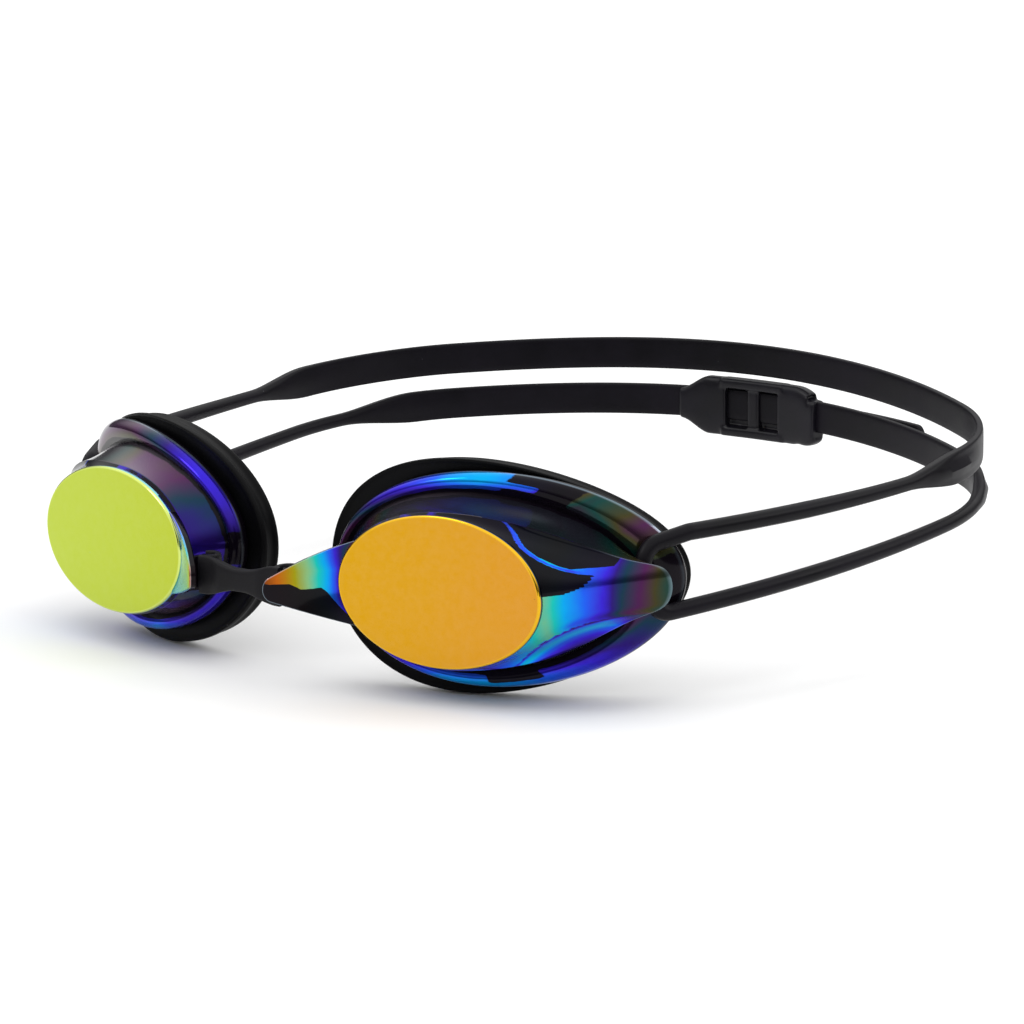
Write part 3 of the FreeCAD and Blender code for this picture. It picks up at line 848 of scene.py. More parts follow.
@dataclass
class ShellPaint:
    """The film on a lens shell: four traits, each with a value for every point of the shell's rings.

    "film" is the place in the film's row of colours; the second trait darkens it, for the bare smoky body and as
    painted shade and painted dark reflections; the third adds painted pale light shining through, and "rim"
    paints a highlight along an edge.
    """

    side: Side
    rings: np.ndarray
    marks: dict[str, int]
    wing_reach: float
    bare: float = 0.97
    seam: float = 0.6
    crest: Bow = Bow(4.1, 0.029, 27.2, 20.0, 2.02)
    saddle: Bow = Bow(3.2, 0.0285, 30.0, 18.0, 2.0)
    crest_tint: float = 0.545
    far_patch_height: float = 4.8
    wing_stops: Stops = (
        (-1.0, 0.62), (-0.3, 0.44), (0.0, 0.28), (0.1, 0.35), (0.18, 0.42), (0.36, 0.49), (0.5, 0.56),
        (0.62, 0.69), (0.77, 0.78), (0.88, 0.86), (1.0, 0.94),
    )
    saddle_stops: Stops = ((-3.4, 0.63), (-2.5, 0.56), (-1.8, 0.50), (-1.0, 0.39), (-0.4, 0.46), (0.0, 0.66))
    patch_floor: Stops = ((19.0, 1.0), (22.1, 1.2), (24.5, 2.2), (25.5, 3.5), (26.0, 6.0))

    def __post_init__(self) -> None:
        """Starts with a bare shell and paints it from the face to the flange."""
        shape = self.rings.shape[:2]
        degrees = np.degrees(turns(shape[1]))
        self.signed = np.where(degrees > 180, degrees - 360, degrees)
        self.film = np.full(shape, self.bare)
        self.veil, self.haze, self.rim = np.zeros(shape), np.zeros(shape), np.zeros(shape)
        self.paint_wing()
        self.paint_wall()
        self.paint_flange()

    def traits(self) -> dict[str, np.ndarray]:
        """The four traits by name."""
        return {"film": self.film, "veil": self.veil, "haze": self.haze, "rim": self.rim}

    def paint_wing(self) -> None:
        """Colours along the wing, green by the face and olive at the tip, with painted dark reflections over the
        upper front and a painted highlight along the edge at the temple.
        """
        rows = slice(self.marks["front"], self.marks["wing"] + 1)
        out, up = self.rings[rows, :, 0], self.rings[rows, :, 2]
        film = through(self.wing_stops, (out - FACE.half_length) / (self.wing_reach - FACE.half_length))
        fold = up + self.saddle.at(out)
        film = np.where(fold < 0.0, np.maximum(through(self.saddle_stops, fold), film - 0.1), film)
        film += 0.05 * swell(fold, 0.6, 0.6) * smooth(19.0, 22.0, out)
        crest = self.crest.at(out)
        # Painted dark reflections over the upper front of the wing.
        over_floor = smooth(-0.15, 0.25, up - through(self.patch_floor, out))
        near = over_floor * smooth(0.1, -0.2, up - crest) * smooth(26.0, 25.4, out)
        far = smooth(0.2, 0.55, up - np.maximum(crest, self.far_patch_height)) * smooth(28.4, 27.2, out)
        veil = np.clip(near + far, 0.0, 1.0)
        trace = swell(up - crest, 0.12, 0.22) * smooth(24.5, 22.5, out)
        film += (self.crest_tint - film) * trace
        nose = smooth(80.0, 105.0, np.abs(self.signed))[None, :]
        self.veil[rows] = np.maximum(veil * (1 - nose), self.seam * nose)
        self.film[rows] = film * (1 - nose) + self.seam * nose
        # Painted highlight along the wing's edge at the temple.
        self.rim[self.marks["wing"]] = 0.3 * smooth(50.0, 30.0, np.abs(self.signed))

    def paint_wall(self) -> None:
        """The smoky wall: slate over the top, plum and navy to the nose, with painted pale light where light
        comes through and painted shade deepening into the groove.
        """
        rows = slice(self.marks["wing"] + 1, self.marks["wall"] + 1)
        share = np.linspace(0.0, 1.0, rows.stop - rows.start)[:, None]
        pattern = PATTERNS[self.side]
        self.film[rows] = through(pattern.wall, np.abs(self.signed))[None, :] + 0.03 * share
        # Painted shade deepening into the groove.
        self.veil[rows] = 0.85 * smooth(0.8, 0.97, share)
        # Painted pale light shining through the wall.
        self.haze[rows] = sum(glow.at(self.signed, share) for glow in pattern.glows)

    def flange_shade(self, share: np.ndarray) -> np.ndarray:
        """The flange's painted shade: dark stretches standing for dark reflections, with a lit gleam cut into one
        on the left cup.

        Args:
            share: Shares of the way from the groove to the lip, one in each row.

        Returns:
            How dark each point is, from 0 to 1.
        """
        signed, turn = self.signed[None, :], np.abs(self.signed)[None, :]
        if self.side is Side.RIGHT:
            return np.maximum(smooth(166.0, 176.0, turn), smooth(24.0, 10.0, turn)) + 0.0 * share
        dark = np.maximum(stretch(signed, (52.0, 60.0), (84.0, 76.0)), smooth(20.0, 8.0, turn))
        gleam = smooth(66.0, 70.0, signed) * stretch(share, (0.2, 0.3), (0.55, 0.45))
        low = stretch(signed, (-88.0, -84.0), (-64.0, -70.0)) * smooth(0.5, 0.4, share)
        return np.maximum(dark * (1 - gleam), low)

    def paint_flange(self) -> None:
        """Violet to cyan bands on the flange, brightest over the middle of the cup, with painted shade at the
        temple and by the groove and a painted highlight along the lip.
        """
        rows = slice(self.marks["wall"] + 1, self.marks["flange"] + 1)
        share = np.linspace(0.0, 1.0, rows.stop - rows.start)[:, None]
        colours = through(PATTERNS[self.side].flange, self.signed)[None, :]
        self.film[rows] = colours + 0.08 * smooth(0.5, 0.1, share)
        # Painted shade: the flange's dark stretches and the dark by the groove.
        self.veil[rows] = np.maximum(self.flange_shade(share), smooth(0.16, 0.03, share))
        lip = self.marks["flange"]
        # Painted highlight along the lip.
        self.rim[lip] = 0.05 + 0.35 * stretch(self.signed, (14.0, 30.0), (150.0, 110.0))
        self.film[lip + 1:self.marks["back"] + 1] = 0.99
        self.veil[lip + 1:] = 1.0


@dataclass
class LensShell:
    """The moulding behind the flat face: flared wall, temple wing, groove and wrap-round flange."""

    side: Side
    frame: CupFrame
    around: int = 360
    face_thickness: float = 0.9
    overhang: float = 0.35
    front_step: float = 0.6
    wing_reach: float = 35.0
    wing_depth: float = 15.4
    wing_sweep: float = 1.75
    wing_rise: float = 1.1
    wing_tip: float = 14.0
    wing_tip_turn: float = 23.0
    wing_sag: float = 1.2
    wing_sag_turn: float = 55.0
    wing_sag_spread: float = 22.0
    wing_belly: float = 0.9
    wing_valley: float = 0.75
    wing_valley_turn: float = 52.0
    wing_valley_spread: float = 15.0
    wing_front: tuple[float, float, float] = (0.72, -0.69, 0.0)
    wall_push: float = 0.35
    wall_lean: float = 0.4
    groove: Oval = Oval(24.9, 15.0, 2.4, 0.6, 6.9)
    flange: Oval = Oval(28.9, 18.3, 4.4, 0.8, 8.1)
    flange_bulge: float = 1.35
    flange_round: tuple[float, float] = (0.45, 0.9)
    flange_thickness: float = 1.6
    lip_inset: float = 0.35
    lip_bulge: float = 0.22
    seat: Oval = Oval(22.6, 13.9, 2.6, 0.8, 9.4)
    seat_step: float = 0.2
    hollow: Oval = Oval(17.6, 11.1, depth=2.2, wrap=None)
    hollow_push: float = 0.3

    def wing_edge(self) -> np.ndarray:
        """Draws the front outline.

        Returns:
            The face's oval on the nose side, drawn out to a round tip at the temple.
        """
        angle = turns(self.around)
        cosine, sine = np.cos(angle), np.sin(angle)
        temple = np.clip(cosine, 0.0, 1.0)
        turn = np.degrees(np.abs(np.arctan2(sine, cosine)))
        edge = face_oval(grow=self.overhang, depth=self.face_thickness + self.front_step).ring(angle)
        height = (FACE.half_height + self.overhang) * sine * np.abs(sine) + self.wing_rise * temple
        height += self.wing_tip * sine * swell(turn, 0.0, self.wing_tip_turn)
        height -= self.wing_sag * swell(turn, self.wing_sag_turn, self.wing_sag_spread) * (sine < 0)
        back = edge[:, 1] + self.wing_depth * temple ** self.wing_sweep
        wing = np.stack([self.wing_reach * cosine, back, height], axis=-1)
        return np.where((cosine > 0)[:, None], wing, edge)

    def wing_push(self) -> np.ndarray:
        """How far the wing's front stands off straight lines from the face to its edge.

        Returns:
            The offset at each angle.
        """
        angle = turns(self.around)
        turn = np.degrees(np.abs(np.arctan2(np.sin(angle), np.cos(angle))))
        belly = self.wing_belly * smooth(38.0, 8.0, turn)
        valley = self.wing_valley * swell(turn, self.wing_valley_turn, self.wing_valley_spread)
        return (belly - valley)[:, None] * np.array(self.wing_front)

    def rings(self) -> tuple[np.ndarray, dict[str, int]]:
        """Sets out all rings, from the middle of the front round to the inside of the face.

        Returns:
            The rings, and the number of the last ring of each stretch.
        """
        angle = turns(self.around)
        cosine, sine, level = np.cos(angle), np.sin(angle), np.zeros(self.around)
        outward = np.stack([cosine, level - self.wall_lean, sine], axis=-1)
        radial = np.stack([cosine, level, sine], axis=-1)
        spread, forward = self.flange_round
        bulge = np.stack([spread * cosine, level - forward, spread * sine], axis=-1)
        front = face_oval(depth=self.face_thickness).ring(angle)
        centre = front.mean(axis=0)
        edge, groove, lip = self.wing_edge(), self.groove.ring(angle), self.flange.ring(angle)
        back = lip - self.lip_inset * radial + np.array([0.0, self.flange_thickness, 0.0])
        seat = self.seat.ring(angle) + np.array([0.0, self.flange_thickness - self.seat_step, 0.0])
        inner = self.hollow.ring(angle)
        middle = inner.mean(axis=0)
        runs = {
            "front": [centre + (front - centre) * share for share in (0.03, 0.4, 0.8, 1.0)],
            "wing": between(front, edge, 26, self.wing_push()),
            "wall": between(edge, groove, 18, -self.wall_push * outward),
            "flange": between(groove, lip, 16, self.flange_bulge * bulge),
            "back": between(lip, back, 5, self.lip_bulge * radial) + between(back, seat, 4),
            "hollow": between(seat, inner, 14, -self.hollow_push * outward)
            + [middle + (inner - middle) * share for share in (0.85, 0.5, 0.03)],
        }
        marks = dict(zip(runs, np.cumsum([len(run) for run in runs.values()]) - 1))
        return np.array([ring for run in runs.values() for ring in run]), marks

    def build(self) -> Piece:
        """Makes the whole moulding but for the face and the nose tab.

        Returns:
            The shell.
        """
        rings, marks = self.rings()
        paint = ShellPaint(self.side, rings, marks, self.wing_reach)
        name = f"{self.side.word}_lens_shell"
        return solid_of_rings(name, self.frame.world(rings), paint.traits(), crease=34.0)


@dataclass
class LensFace:
    """The flat oval face with its mirror coating, a fine chamfer and a bright line round it."""

    side: Side
    frame: CupFrame
    thickness: float = 0.95
    chamfer: float = 0.28
    around: int = 300

    def steps(self) -> list[tuple[float, float, float]]:
        """Sets out the plate, from its front round to its back.

        Returns:
            Rings as (share of the oval, depth, rim).
        """
        thick = self.thickness
        flat = [(share, 0.0, 0.0) for share in (0.02, 0.2, 0.4, 0.6, 0.8, 0.93)]
        line = [(0.968, 0.0, 0.05), (0.974, 0.0, 0.36), (0.983, 0.0, 0.36)]
        edge = [(0.986, 0.05, 0.6), (0.994, 0.12, 0.6), (1.0, self.chamfer, 0.75), (1.004, 0.5 * thick, 0.9)]
        return flat + line + edge + [(share, thick, 1.0) for share in (1.0, 0.6, 0.05)]

    def build(self) -> Piece:
        """Makes the face as one closed plate.

        Returns:
            The face.
        """
        angle = turns(self.around)
        steps = self.steps()
        rings = np.array([face_oval(share, depth=depth).ring(angle) for share, depth, _ in steps])
        traits = {
            "rim": np.array([np.full(self.around, rim) for _, _, rim in steps]),
            "drift": 0.5 - 0.5 * rings[..., 0] / FACE.half_length,
        }
        return solid_of_rings(f"{self.side.word}_lens_face", self.frame.world(rings), traits, crease=24.0)


@dataclass
class NoseTab:
    """The flat tab that leans forward over the nose, with the post behind it that the bridge clips on."""

    side: Side
    frame: CupFrame
    root: float = 15.5
    root_inset: float = 0.5
    root_gap: float = 0.3
    root_half_height: float = 7.4
    reach: float = 30.2
    lead: float = 6.4
    drop: float = 1.2
    tip_radius: float = 2.2
    thickness: float = 1.25
    bevel: float = 0.2
    bevel_line: float = 0.12
    hub: tuple[float, float] = (0.55, 0.2)
    edge_shine: float = 0.45
    shade_edge: Stops = (
        (0.0, 1.3), (0.07, 0.9), (0.35, 0.5), (0.49, -0.6),
        (0.75, -0.6), (0.82, -1.4), (0.9, -3.4), (1.0, -6.0),
    )
    post_inset: float = 4.0
    post_setback: float = 4.0
    post_radius: float = 1.1
    post_half_height: float = 3.0
    rib_half_thickness: float = 0.45
    rib_bite: float = 0.4

    def length(self) -> float:
        """The tab's length from its tip to its root."""
        return math.hypot(self.reach - self.root, self.lead + self.root_inset)

    def axes(self) -> tuple[np.ndarray, np.ndarray, np.ndarray]:
        """Finds the tab's own axes.

        Returns:
            The tab's tip, the way from its tip to its root, and the way back off it.
        """
        tip = np.array([-self.reach, -self.lead, -self.drop])
        along = np.array([self.reach - self.root, self.lead + self.root_inset, 0.0])
        along /= np.linalg.norm(along)
        return tip, along, np.array([-along[1], along[0], 0.0])

    def post_centre(self) -> np.ndarray:
        """The middle of the post, in the cup's frame."""
        tip, along, off = self.axes()
        return tip + self.post_inset * along + self.post_setback * off

    def lay(self, flat: np.ndarray, depth: float) -> np.ndarray:
        """Lays flat points of the tab in the cup's frame; its root tucks in behind the face's rim.

        Args:
            flat: Points as (from tip to root, up).
            depth: How far behind the tab's front they lie.

        Returns:
            The points in the cup's frame.
        """
        up = flat[:, 1] - self.drop
        share = flat[:, 0] / self.length()
        root = -FACE.half_length * np.sqrt(1 - (up / FACE.half_height) ** 2) + self.root_gap
        out = -self.reach + (root + self.reach) * share
        back = -self.lead + (self.root_inset + self.lead) * share
        return np.stack([out, back, up], axis=-1) + depth * self.axes()[2]

    def outline(
        self, inset: float, tip_steps: int = 41, root_steps: int = 30, side_steps: int = 36,
    ) -> np.ndarray:
        """Draws the tab's outline in its own plane.

        Args:
            inset: How far the outline is shrunk.
            tip_steps: Points round the tip.
            root_steps: Points up the root.
            side_steps: Steps along each side.

        Returns:
            Points as (from tip to root, up).
        """
        length = self.length()
        radius = self.tip_radius - inset
        half = self.root_half_height - inset
        slope = math.atan2(half - radius, length - self.tip_radius)
        turn = np.linspace(math.pi / 2 + slope, 3 * math.pi / 2 - slope, tip_steps)
        tip = np.stack([self.tip_radius + radius * np.cos(turn), radius * np.sin(turn)], axis=-1)
        root_up = np.linspace(-half, half, root_steps) + self.drop
        end = np.stack([np.full(root_steps, length - inset), root_up], axis=-1)
        lower = [tip[-1] + (end[0] - tip[-1]) * k / side_steps for k in range(1, side_steps)]
        upper = [end[-1] + (tip[0] - end[-1]) * k / side_steps for k in range(1, side_steps)]
        return np.vstack([tip, lower, end, upper])

    def build(self) -> Piece:
        """Makes the tab as one closed plate.

        Returns:
            The tab.
        """
        full, inner = self.outline(0.0), self.outline(self.bevel)
        length = full[:, 0].max()
        hub = np.array([self.hub[0] * length, self.hub[1]])
        back = self.thickness - self.bevel
        rows = [(hub + (inner - hub) * share, 0.0, 0.0) for share in np.linspace(0.02, 1.0, 30)]
        rows += [(full, self.bevel, 1.0), (full, self.bevel + self.bevel_line, 0.0)]
        rows += [(full, back, 0.0), (inner, self.thickness, 0.0)]
        rows += [(hub + (inner - hub) * share, self.thickness, 0.0) for share in (0.5, 0.02)]
        films, dark_body_and_painted_shades = [], []
        for flat, depth, _ in rows:
            reach = flat[:, 0] / length
            upper = 0.045 * np.clip(flat[:, 1] - 3.2, 0.0, 4.0) * reach
            films.append(through(PATTERNS[self.side].tab, reach) + upper)
            shade = smooth(0.3, -0.3, flat[:, 1] - through(self.shade_edge, reach) - self.drop * reach)
            shade = shade if self.side is Side.LEFT else 0.0 * shade
            # Dark where painted shade falls on the left tab, and on the bare back.
            dark_body_and_painted_shades.append(np.maximum(shade, 1.0 if depth > self.bevel else 0.0))
        traits = {
            "film": np.array(films), "veil": np.array(dark_body_and_painted_shades), "haze": np.zeros((len(rows), len(full))),
            # Painted highlight along the tab's front edge.
            "rim": np.array([np.full(len(full), self.edge_shine * rim) for _, _, rim in rows]),
        }
        rings = np.array([self.lay(flat, depth) for flat, depth, _ in rows])
        return solid_of_rings(f"{self.side.word}_nose_tab", self.frame.world(rings), traits, crease=30.0)

    def build_post(self) -> Piece:
        """Makes the post, a little narrower at its ends, and the rib that ties it to the tab.

        Returns:
            The two as one piece.
        """
        along, off = self.axes()[1:]
        centre = self.post_centre()
        angle = turns(36)
        circle = np.stack([np.cos(angle), np.sin(angle), 0.0 * angle], axis=-1)
        half = self.post_half_height
        levels = [(-half, 0.6), (-half, 0.85), (-half + 0.2, 1.0), (-half + 0.5, 1.0), (-half + 1.2, 1.0)]
        levels += [(-level, grow) for level, grow in levels[::-1]]
        rings = [centre + circle * self.post_radius * grow + level * UP for level, grow in levels]
        rod = solid_of_rings("rod", self.frame.world(np.array(rings)))
        reach = self.post_setback - self.thickness + self.rib_bite
        rib_rings = []
        for level, shrink in ((-half, 0.7), (-half + 0.2, 1.0), (half - 0.2, 1.0), (half, 0.7)):
            across = self.rib_half_thickness * shrink
            corners = [(-across, 0.0), (across, 0.0), (across, -reach), (-across, -reach)]
            rib_rings.append([centre + a * along + b * off + level * UP for a, b in corners])
        rib = solid_of_rings("rib", self.frame.world(np.array(rib_rings)))
        post = joined(f"{self.side.word}_bridge_post", [rod, rib])
        for trait, value in (("film", 0.97), ("veil", 1.0)):
            layer = post.data.attributes.new(trait, "FLOAT", "POINT")
            layer.data.foreach_set("value", [value] * len(post.data.vertices))
        return post


@dataclass
class Gasket:
    """The soft seal: a lip under the flange, a deep side and a rolled edge round the eye.

    The profile's corners are (share from outside to hole, depth behind the front), joined by a rounded line.
    """

    side: Side
    frame: CupFrame
    around: int = 300
    outer: Oval = Oval(30.3, 19.9, 2.6, 0.8, 0.0, 0.11)
    hole: Oval = Oval(20.5, 12.2, 2.6, 0.8, 0.0, 0.05)
    front: float = 9.3
    profile: Stops = (
        (0.92, 0.7), (0.55, 0.55), (0.30, 0.35), (0.12, 0.2), (0.05, 0.05), (0.01, 0.1), (0.0, 0.45),
        (0.0, 1.0), (0.035, 1.5), (0.06, 2.1), (0.065, 2.8), (0.05, 3.5), (0.06, 4.0), (0.12, 4.45), (0.24, 4.75),
        (0.42, 4.8), (0.6, 4.6), (0.78, 4.15), (0.9, 3.5), (0.98, 2.7), (1.0, 1.9), (0.98, 1.1),
    )

    def section(self, steps: int = 3) -> np.ndarray:
        """Rounds the profile.

        Args:
            steps: How many points each corner of the profile becomes.

        Returns:
            The profile as a smooth closed curve.
        """
        b = np.array(self.profile)[:, None, :]
        a, c, d = np.roll(b, 1, axis=0), np.roll(b, -1, axis=0), np.roll(b, -2, axis=0)
        t = (np.arange(steps) / steps)[None, :, None]
        bend, twist = 2 * a - 5 * b + 4 * c - d, 3 * b - a - 3 * c + d
        return (0.5 * (2 * b + (c - a) * t + bend * t ** 2 + twist * t ** 3)).reshape(-1, 2)

    def build(self) -> Piece:
        """Makes the seal as one closed hoop.

        Returns:
            The seal.
        """
        angle = turns(self.around)
        outside, inside = self.outer.ring(angle), self.hole.ring(angle)
        rings = []
        for share, depth in self.section():
            rings.append(outside + (inside - outside) * share + np.array([0.0, self.front + depth, 0.0]))
        return solid_of_rings(f"{self.side.word}_gasket_seal", self.frame.world(np.array(rings)), loop=True)


@dataclass
class EyeCup:
    """One lens and its gasket, from the mount on the lens's face."""

    side: Side
    frame: CupFrame

    def build(self) -> list[Piece]:
        """Makes the cup's pieces, dresses them and puts them on the cup's body.

        Returns:
            The pieces.
        """
        word = self.side.word
        tab = NoseTab(self.side, self.frame)
        shell, face = LensShell(self.side, self.frame).build(), LensFace(self.side, self.frame).build()
        pieces = [shell, face, tab.build(), tab.build_post(), Gasket(self.side, self.frame).build()]
        seal = pieces[-1]
        FILMS[self.side].coat(shell, *pieces[2:4])
        MIRRORS[self.side].coat(face)
        GASKET_RUBBER.coat(seal)
        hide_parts(f"{word}_lens")
        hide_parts(f"{word}_gasket")
        for piece in pieces:
            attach(piece, f"{word}_cup")
        return pieces


# ---------------------------------------------------------------- the strap


def swept(
    path: np.ndarray, half_thick: np.ndarray | float, half_high: np.ndarray | float,
    corner: np.ndarray | float, ridge: np.ndarray | float = 0.0, sides: int = 40,
) -> np.ndarray:
    """Rings of a strap along a path: round where corner is 2, squarer as it grows.

    Args:
        path: Points of the middle line, in millimetres.
        half_thick: Half the thickness at each point, level with the ground.
        half_high: Half the height at each point.
        corner: The power of the rounded section at each point.
        ridge: How far a soft rib stands out along the middle of the outer face, at each point.
        sides: How many points each ring has.

    Returns:
        The rings.
    """
    ridge_half_height, inner_share = 1.15, 0.35
    along = np.gradient(path, axis=0)
    along /= np.linalg.norm(along, axis=1, keepdims=True)
    across = np.cross(along, UP)
    across /= np.linalg.norm(across, axis=1, keepdims=True)
    high = np.cross(across, along)
    cosine, sine = np.cos(turns(sides))[None, :], np.sin(turns(sides))[None, :]
    sizes = (half_thick, half_high, corner, ridge)
    thick, tall, corner, ridge = ((size + np.zeros(len(path)))[:, None] for size in sizes)
    wide = thick * np.sign(cosine) * np.abs(cosine) ** (2.0 / corner)
    tall = tall * np.sign(sine) * np.abs(sine) ** (2.0 / corner)
    rib = ridge * swell(tall, 0.0, ridge_half_height)
    wide = wide + np.where(cosine > 0, rib, -inner_share * rib)
    return path[:, None, :] + wide[..., None] * across[:, None, :] + tall[..., None] * high[:, None, :]


@dataclass
class StrapRoute:
    """The strap seen from above: a side arc, a corner arc and the rear arc, tangent to each other."""

    slot: np.ndarray
    rear_centre: np.ndarray
    side_run: float = 69.8
    side_radius: float = 220.0
    corner_radius: float = 36.0
    rear_radius: float = 110.0

    def __post_init__(self) -> None:
        """Works out the arcs from the slot and the radii."""
        half_width = self.slot[0] + self.side_radius - math.sqrt(self.side_radius ** 2 - self.side_run ** 2)
        self.side_centre = np.array([half_width - self.side_radius, self.slot[1] + self.side_run])
        self.corner_centre = np.array([half_width - self.corner_radius, self.side_centre[1]])
        self.rear_angle = math.asin(self.corner_centre[0] / (self.rear_radius - self.corner_radius))
        self.side_length = self.side_radius * math.asin(self.side_run / self.side_radius)
        self.corner_end = self.side_length + self.corner_radius * (math.pi / 2 - self.rear_angle)
        self.length = self.corner_end + self.rear_radius * self.rear_angle
        self.depth = self.rear_centre[1] + self.rear_radius - self.slot[1]

    @staticmethod
    def arc(centre: np.ndarray, radius: float, start: float, run: np.ndarray) -> np.ndarray:
        """Points of one arc.

        Args:
            centre: The arc's centre, seen from above.
            radius: Its radius.
            start: The angle at which its run is 0.
            run: Lengths along it.

        Returns:
            The points, seen from above.
        """
        angle = start + run / radius
        return centre[:2] + radius * np.stack([np.cos(angle), np.sin(angle)], axis=-1)

    def plan(self, run: np.ndarray) -> np.ndarray:
        """Points seen from above.

        Args:
            run: Lengths from the left slot, on to the right one past the middle.

        Returns:
            The points.
        """
        folded = np.where(run > self.length, 2 * self.length - run, run)
        side = np.where(run > self.length, -1.0, 1.0)
        past_side, past_corner = folded - self.side_length, folded - self.corner_end
        first = self.arc(self.side_centre, self.side_radius, 0.0, past_side)
        second = self.arc(self.corner_centre, self.corner_radius, 0.0, past_side)
        third = self.arc(self.rear_centre, self.rear_radius, math.pi / 2 - self.rear_angle, past_corner)
        on_corner, on_rear = (past_side > 0)[:, None], (past_corner > 0)[:, None]
        flat = np.where(on_rear, third, np.where(on_corner, second, first))
        return flat * np.stack([side, np.ones_like(side)], axis=-1)


@dataclass
class StrapHalf:
    """The upper or the lower half of the strap: its heights and where its cord widens to a band.

    The pairs are where a change starts and ends, measured from where the band begins, and so is thin_end;
    thin_start is measured from the slot.
    """

    route: StrapRoute
    start_height: float
    slope: float
    rear_height: float
    band_run: float
    power: int = 4
    band_half_height: float = 3.0
    band_half_thick: float = 0.7
    band_corner: float = 5.2
    cord_radius: float = 1.45
    thin_radius: float = 1.28
    thin_start: float = 30.0
    thin_end: float = -8.0
    widening: tuple[float, float] = (-7.0, 9.0)
    flattening: tuple[float, float] = (-5.0, 16.0)
    ridge_height: float = 0.75
    ridge_rise: tuple[float, float] = (-3.0, 6.0)
    ridge_fall: tuple[float, float] = (26.0, 8.0)
    spacing: float = 0.8

    def path(self, run: np.ndarray) -> np.ndarray:
        """Points of the middle line.

        Args:
            run: Lengths from the left slot.

        Returns:
            The points.
        """
        flat = self.route.plan(run)
        whole = self.route.depth
        back = flat[:, 1] - self.route.slot[1]
        rise = math.tan(math.radians(self.slope))
        extra = self.rear_height - self.start_height - rise * whole
        height = self.start_height + rise * back + extra * (np.abs(back) / whole) ** self.power
        return np.column_stack([flat, height])

    def rings(self, first: float, last: float) -> np.ndarray:
        """The half's rings between two lengths from the left slot.

        Args:
            first: The length at which the piece starts.
            last: The length at which it ends.

        Returns:
            The rings.
        """
        run = np.linspace(first, last, max(4, round(abs(last - first) / self.spacing)))
        near = np.minimum(run, 2 * self.route.length - run)
        past = near - self.band_run
        thinned = smooth(self.thin_start, self.band_run + self.thin_end, near)
        cord = self.cord_radius + (self.thin_radius - self.cord_radius) * thinned
        wide = smooth(*self.widening, past)
        high = cord + (self.band_half_height - cord) * wide
        thick = cord + (self.band_half_thick - cord) * smooth(*self.flattening, past)
        ridge = self.ridge_height * stretch(past, self.ridge_rise, self.ridge_fall)
        return swept(self.path(run), thick, high, 2.0 + (self.band_corner - 2.0) * wide, ridge)


class CordTree:
    """A Geometry Nodes tree that sweeps a round cord along a line, with rounded corners."""

    bend_steps = 14

    def __init__(self, material: bpy.types.Material) -> None:
        """Builds the tree; its named inputs are the cord's radius, its sides and its bend.

        Args:
            material: What the cord is made of.
        """
        self.tree = bpy.data.node_groups.new("round_cord", "GeometryNodeTree")
        face = self.tree.interface
        face.new_socket("Line", in_out="INPUT", socket_type="NodeSocketGeometry")
        inputs = {"Radius": "NodeSocketFloat", "Bend": "NodeSocketFloat", "Sides": "NodeSocketInt"}
        self.sockets = {
            name: face.new_socket(name, in_out="INPUT", socket_type=kind).identifier
            for name, kind in inputs.items()
        }
        face.new_socket("Cord", in_out="OUTPUT", socket_type="NodeSocketGeometry")
        nodes = self.tree.nodes
        entry, leave = nodes.new("NodeGroupInput"), nodes.new("NodeGroupOutput")
        line = nodes.new("GeometryNodeMeshToCurve")
        fillet = nodes.new("GeometryNodeFilletCurve")
        fillet.mode = "POLY"
        fillet.inputs["Count"].default_value = self.bend_steps
        fillet.inputs["Limit Radius"].default_value = True
        ring = nodes.new("GeometryNodeCurvePrimitiveCircle")
        sweep = nodes.new("GeometryNodeCurveToMesh")
        sweep.inputs["Fill Caps"].default_value = True
        shade = nodes.new("GeometryNodeSetShadeSmooth")
        real = nodes.new("GeometryNodeRealizeInstances")
        coat = nodes.new("GeometryNodeSetMaterial")
        coat.inputs["Material"].default_value = material
        for source, target in (
            (entry.outputs["Line"], line.inputs["Mesh"]),
            (line.outputs["Curve"], fillet.inputs["Curve"]),
            (entry.outputs["Bend"], fillet.inputs["Radius"]),
            (entry.outputs["Radius"], ring.inputs["Radius"]),
            (entry.outputs["Sides"], ring.inputs["Resolution"]),
            (fillet.outputs["Curve"], sweep.inputs["Curve"]),
            (ring.outputs["Curve"], sweep.inputs["Profile Curve"]),
            (sweep.outputs["Mesh"], shade.inputs["Geometry"]),
            (shade.outputs["Geometry"], real.inputs["Geometry"]),
            (real.outputs["Geometry"], coat.inputs["Geometry"]),
            (coat.outputs["Geometry"], leave.inputs["Cord"]),
        ):
            self.tree.links.new(source, target)

    def cord(self, name: str, points: np.ndarray, radius: float, bend: float, sides: int = 40) -> Piece:
        """Makes a cord.

        Args:
            name: The piece's name.
            points: The corners of its line, in millimetres.
            radius: Its radius.
            bend: The radius of its corners.
            sides: How many points go round it.

        Returns:
            The cord as a plain mesh.
        """
        mesh = bpy.data.meshes.new(name)
        mesh.from_pydata((points * MM).tolist(), [(k, k + 1) for k in range(len(points) - 1)], [])
        item = placed(name, mesh)
        modifier = item.modifiers.new("sweep", "NODES")
        modifier.node_group = self.tree
        for socket, value in (("Radius", radius * MM), ("Bend", bend * MM), ("Sides", sides)):
            modifier[self.sockets[socket]] = value
        item = plain_mesh(item)
        item.data.set_sharp_from_angle(angle=math.radians(40.0))
        return item


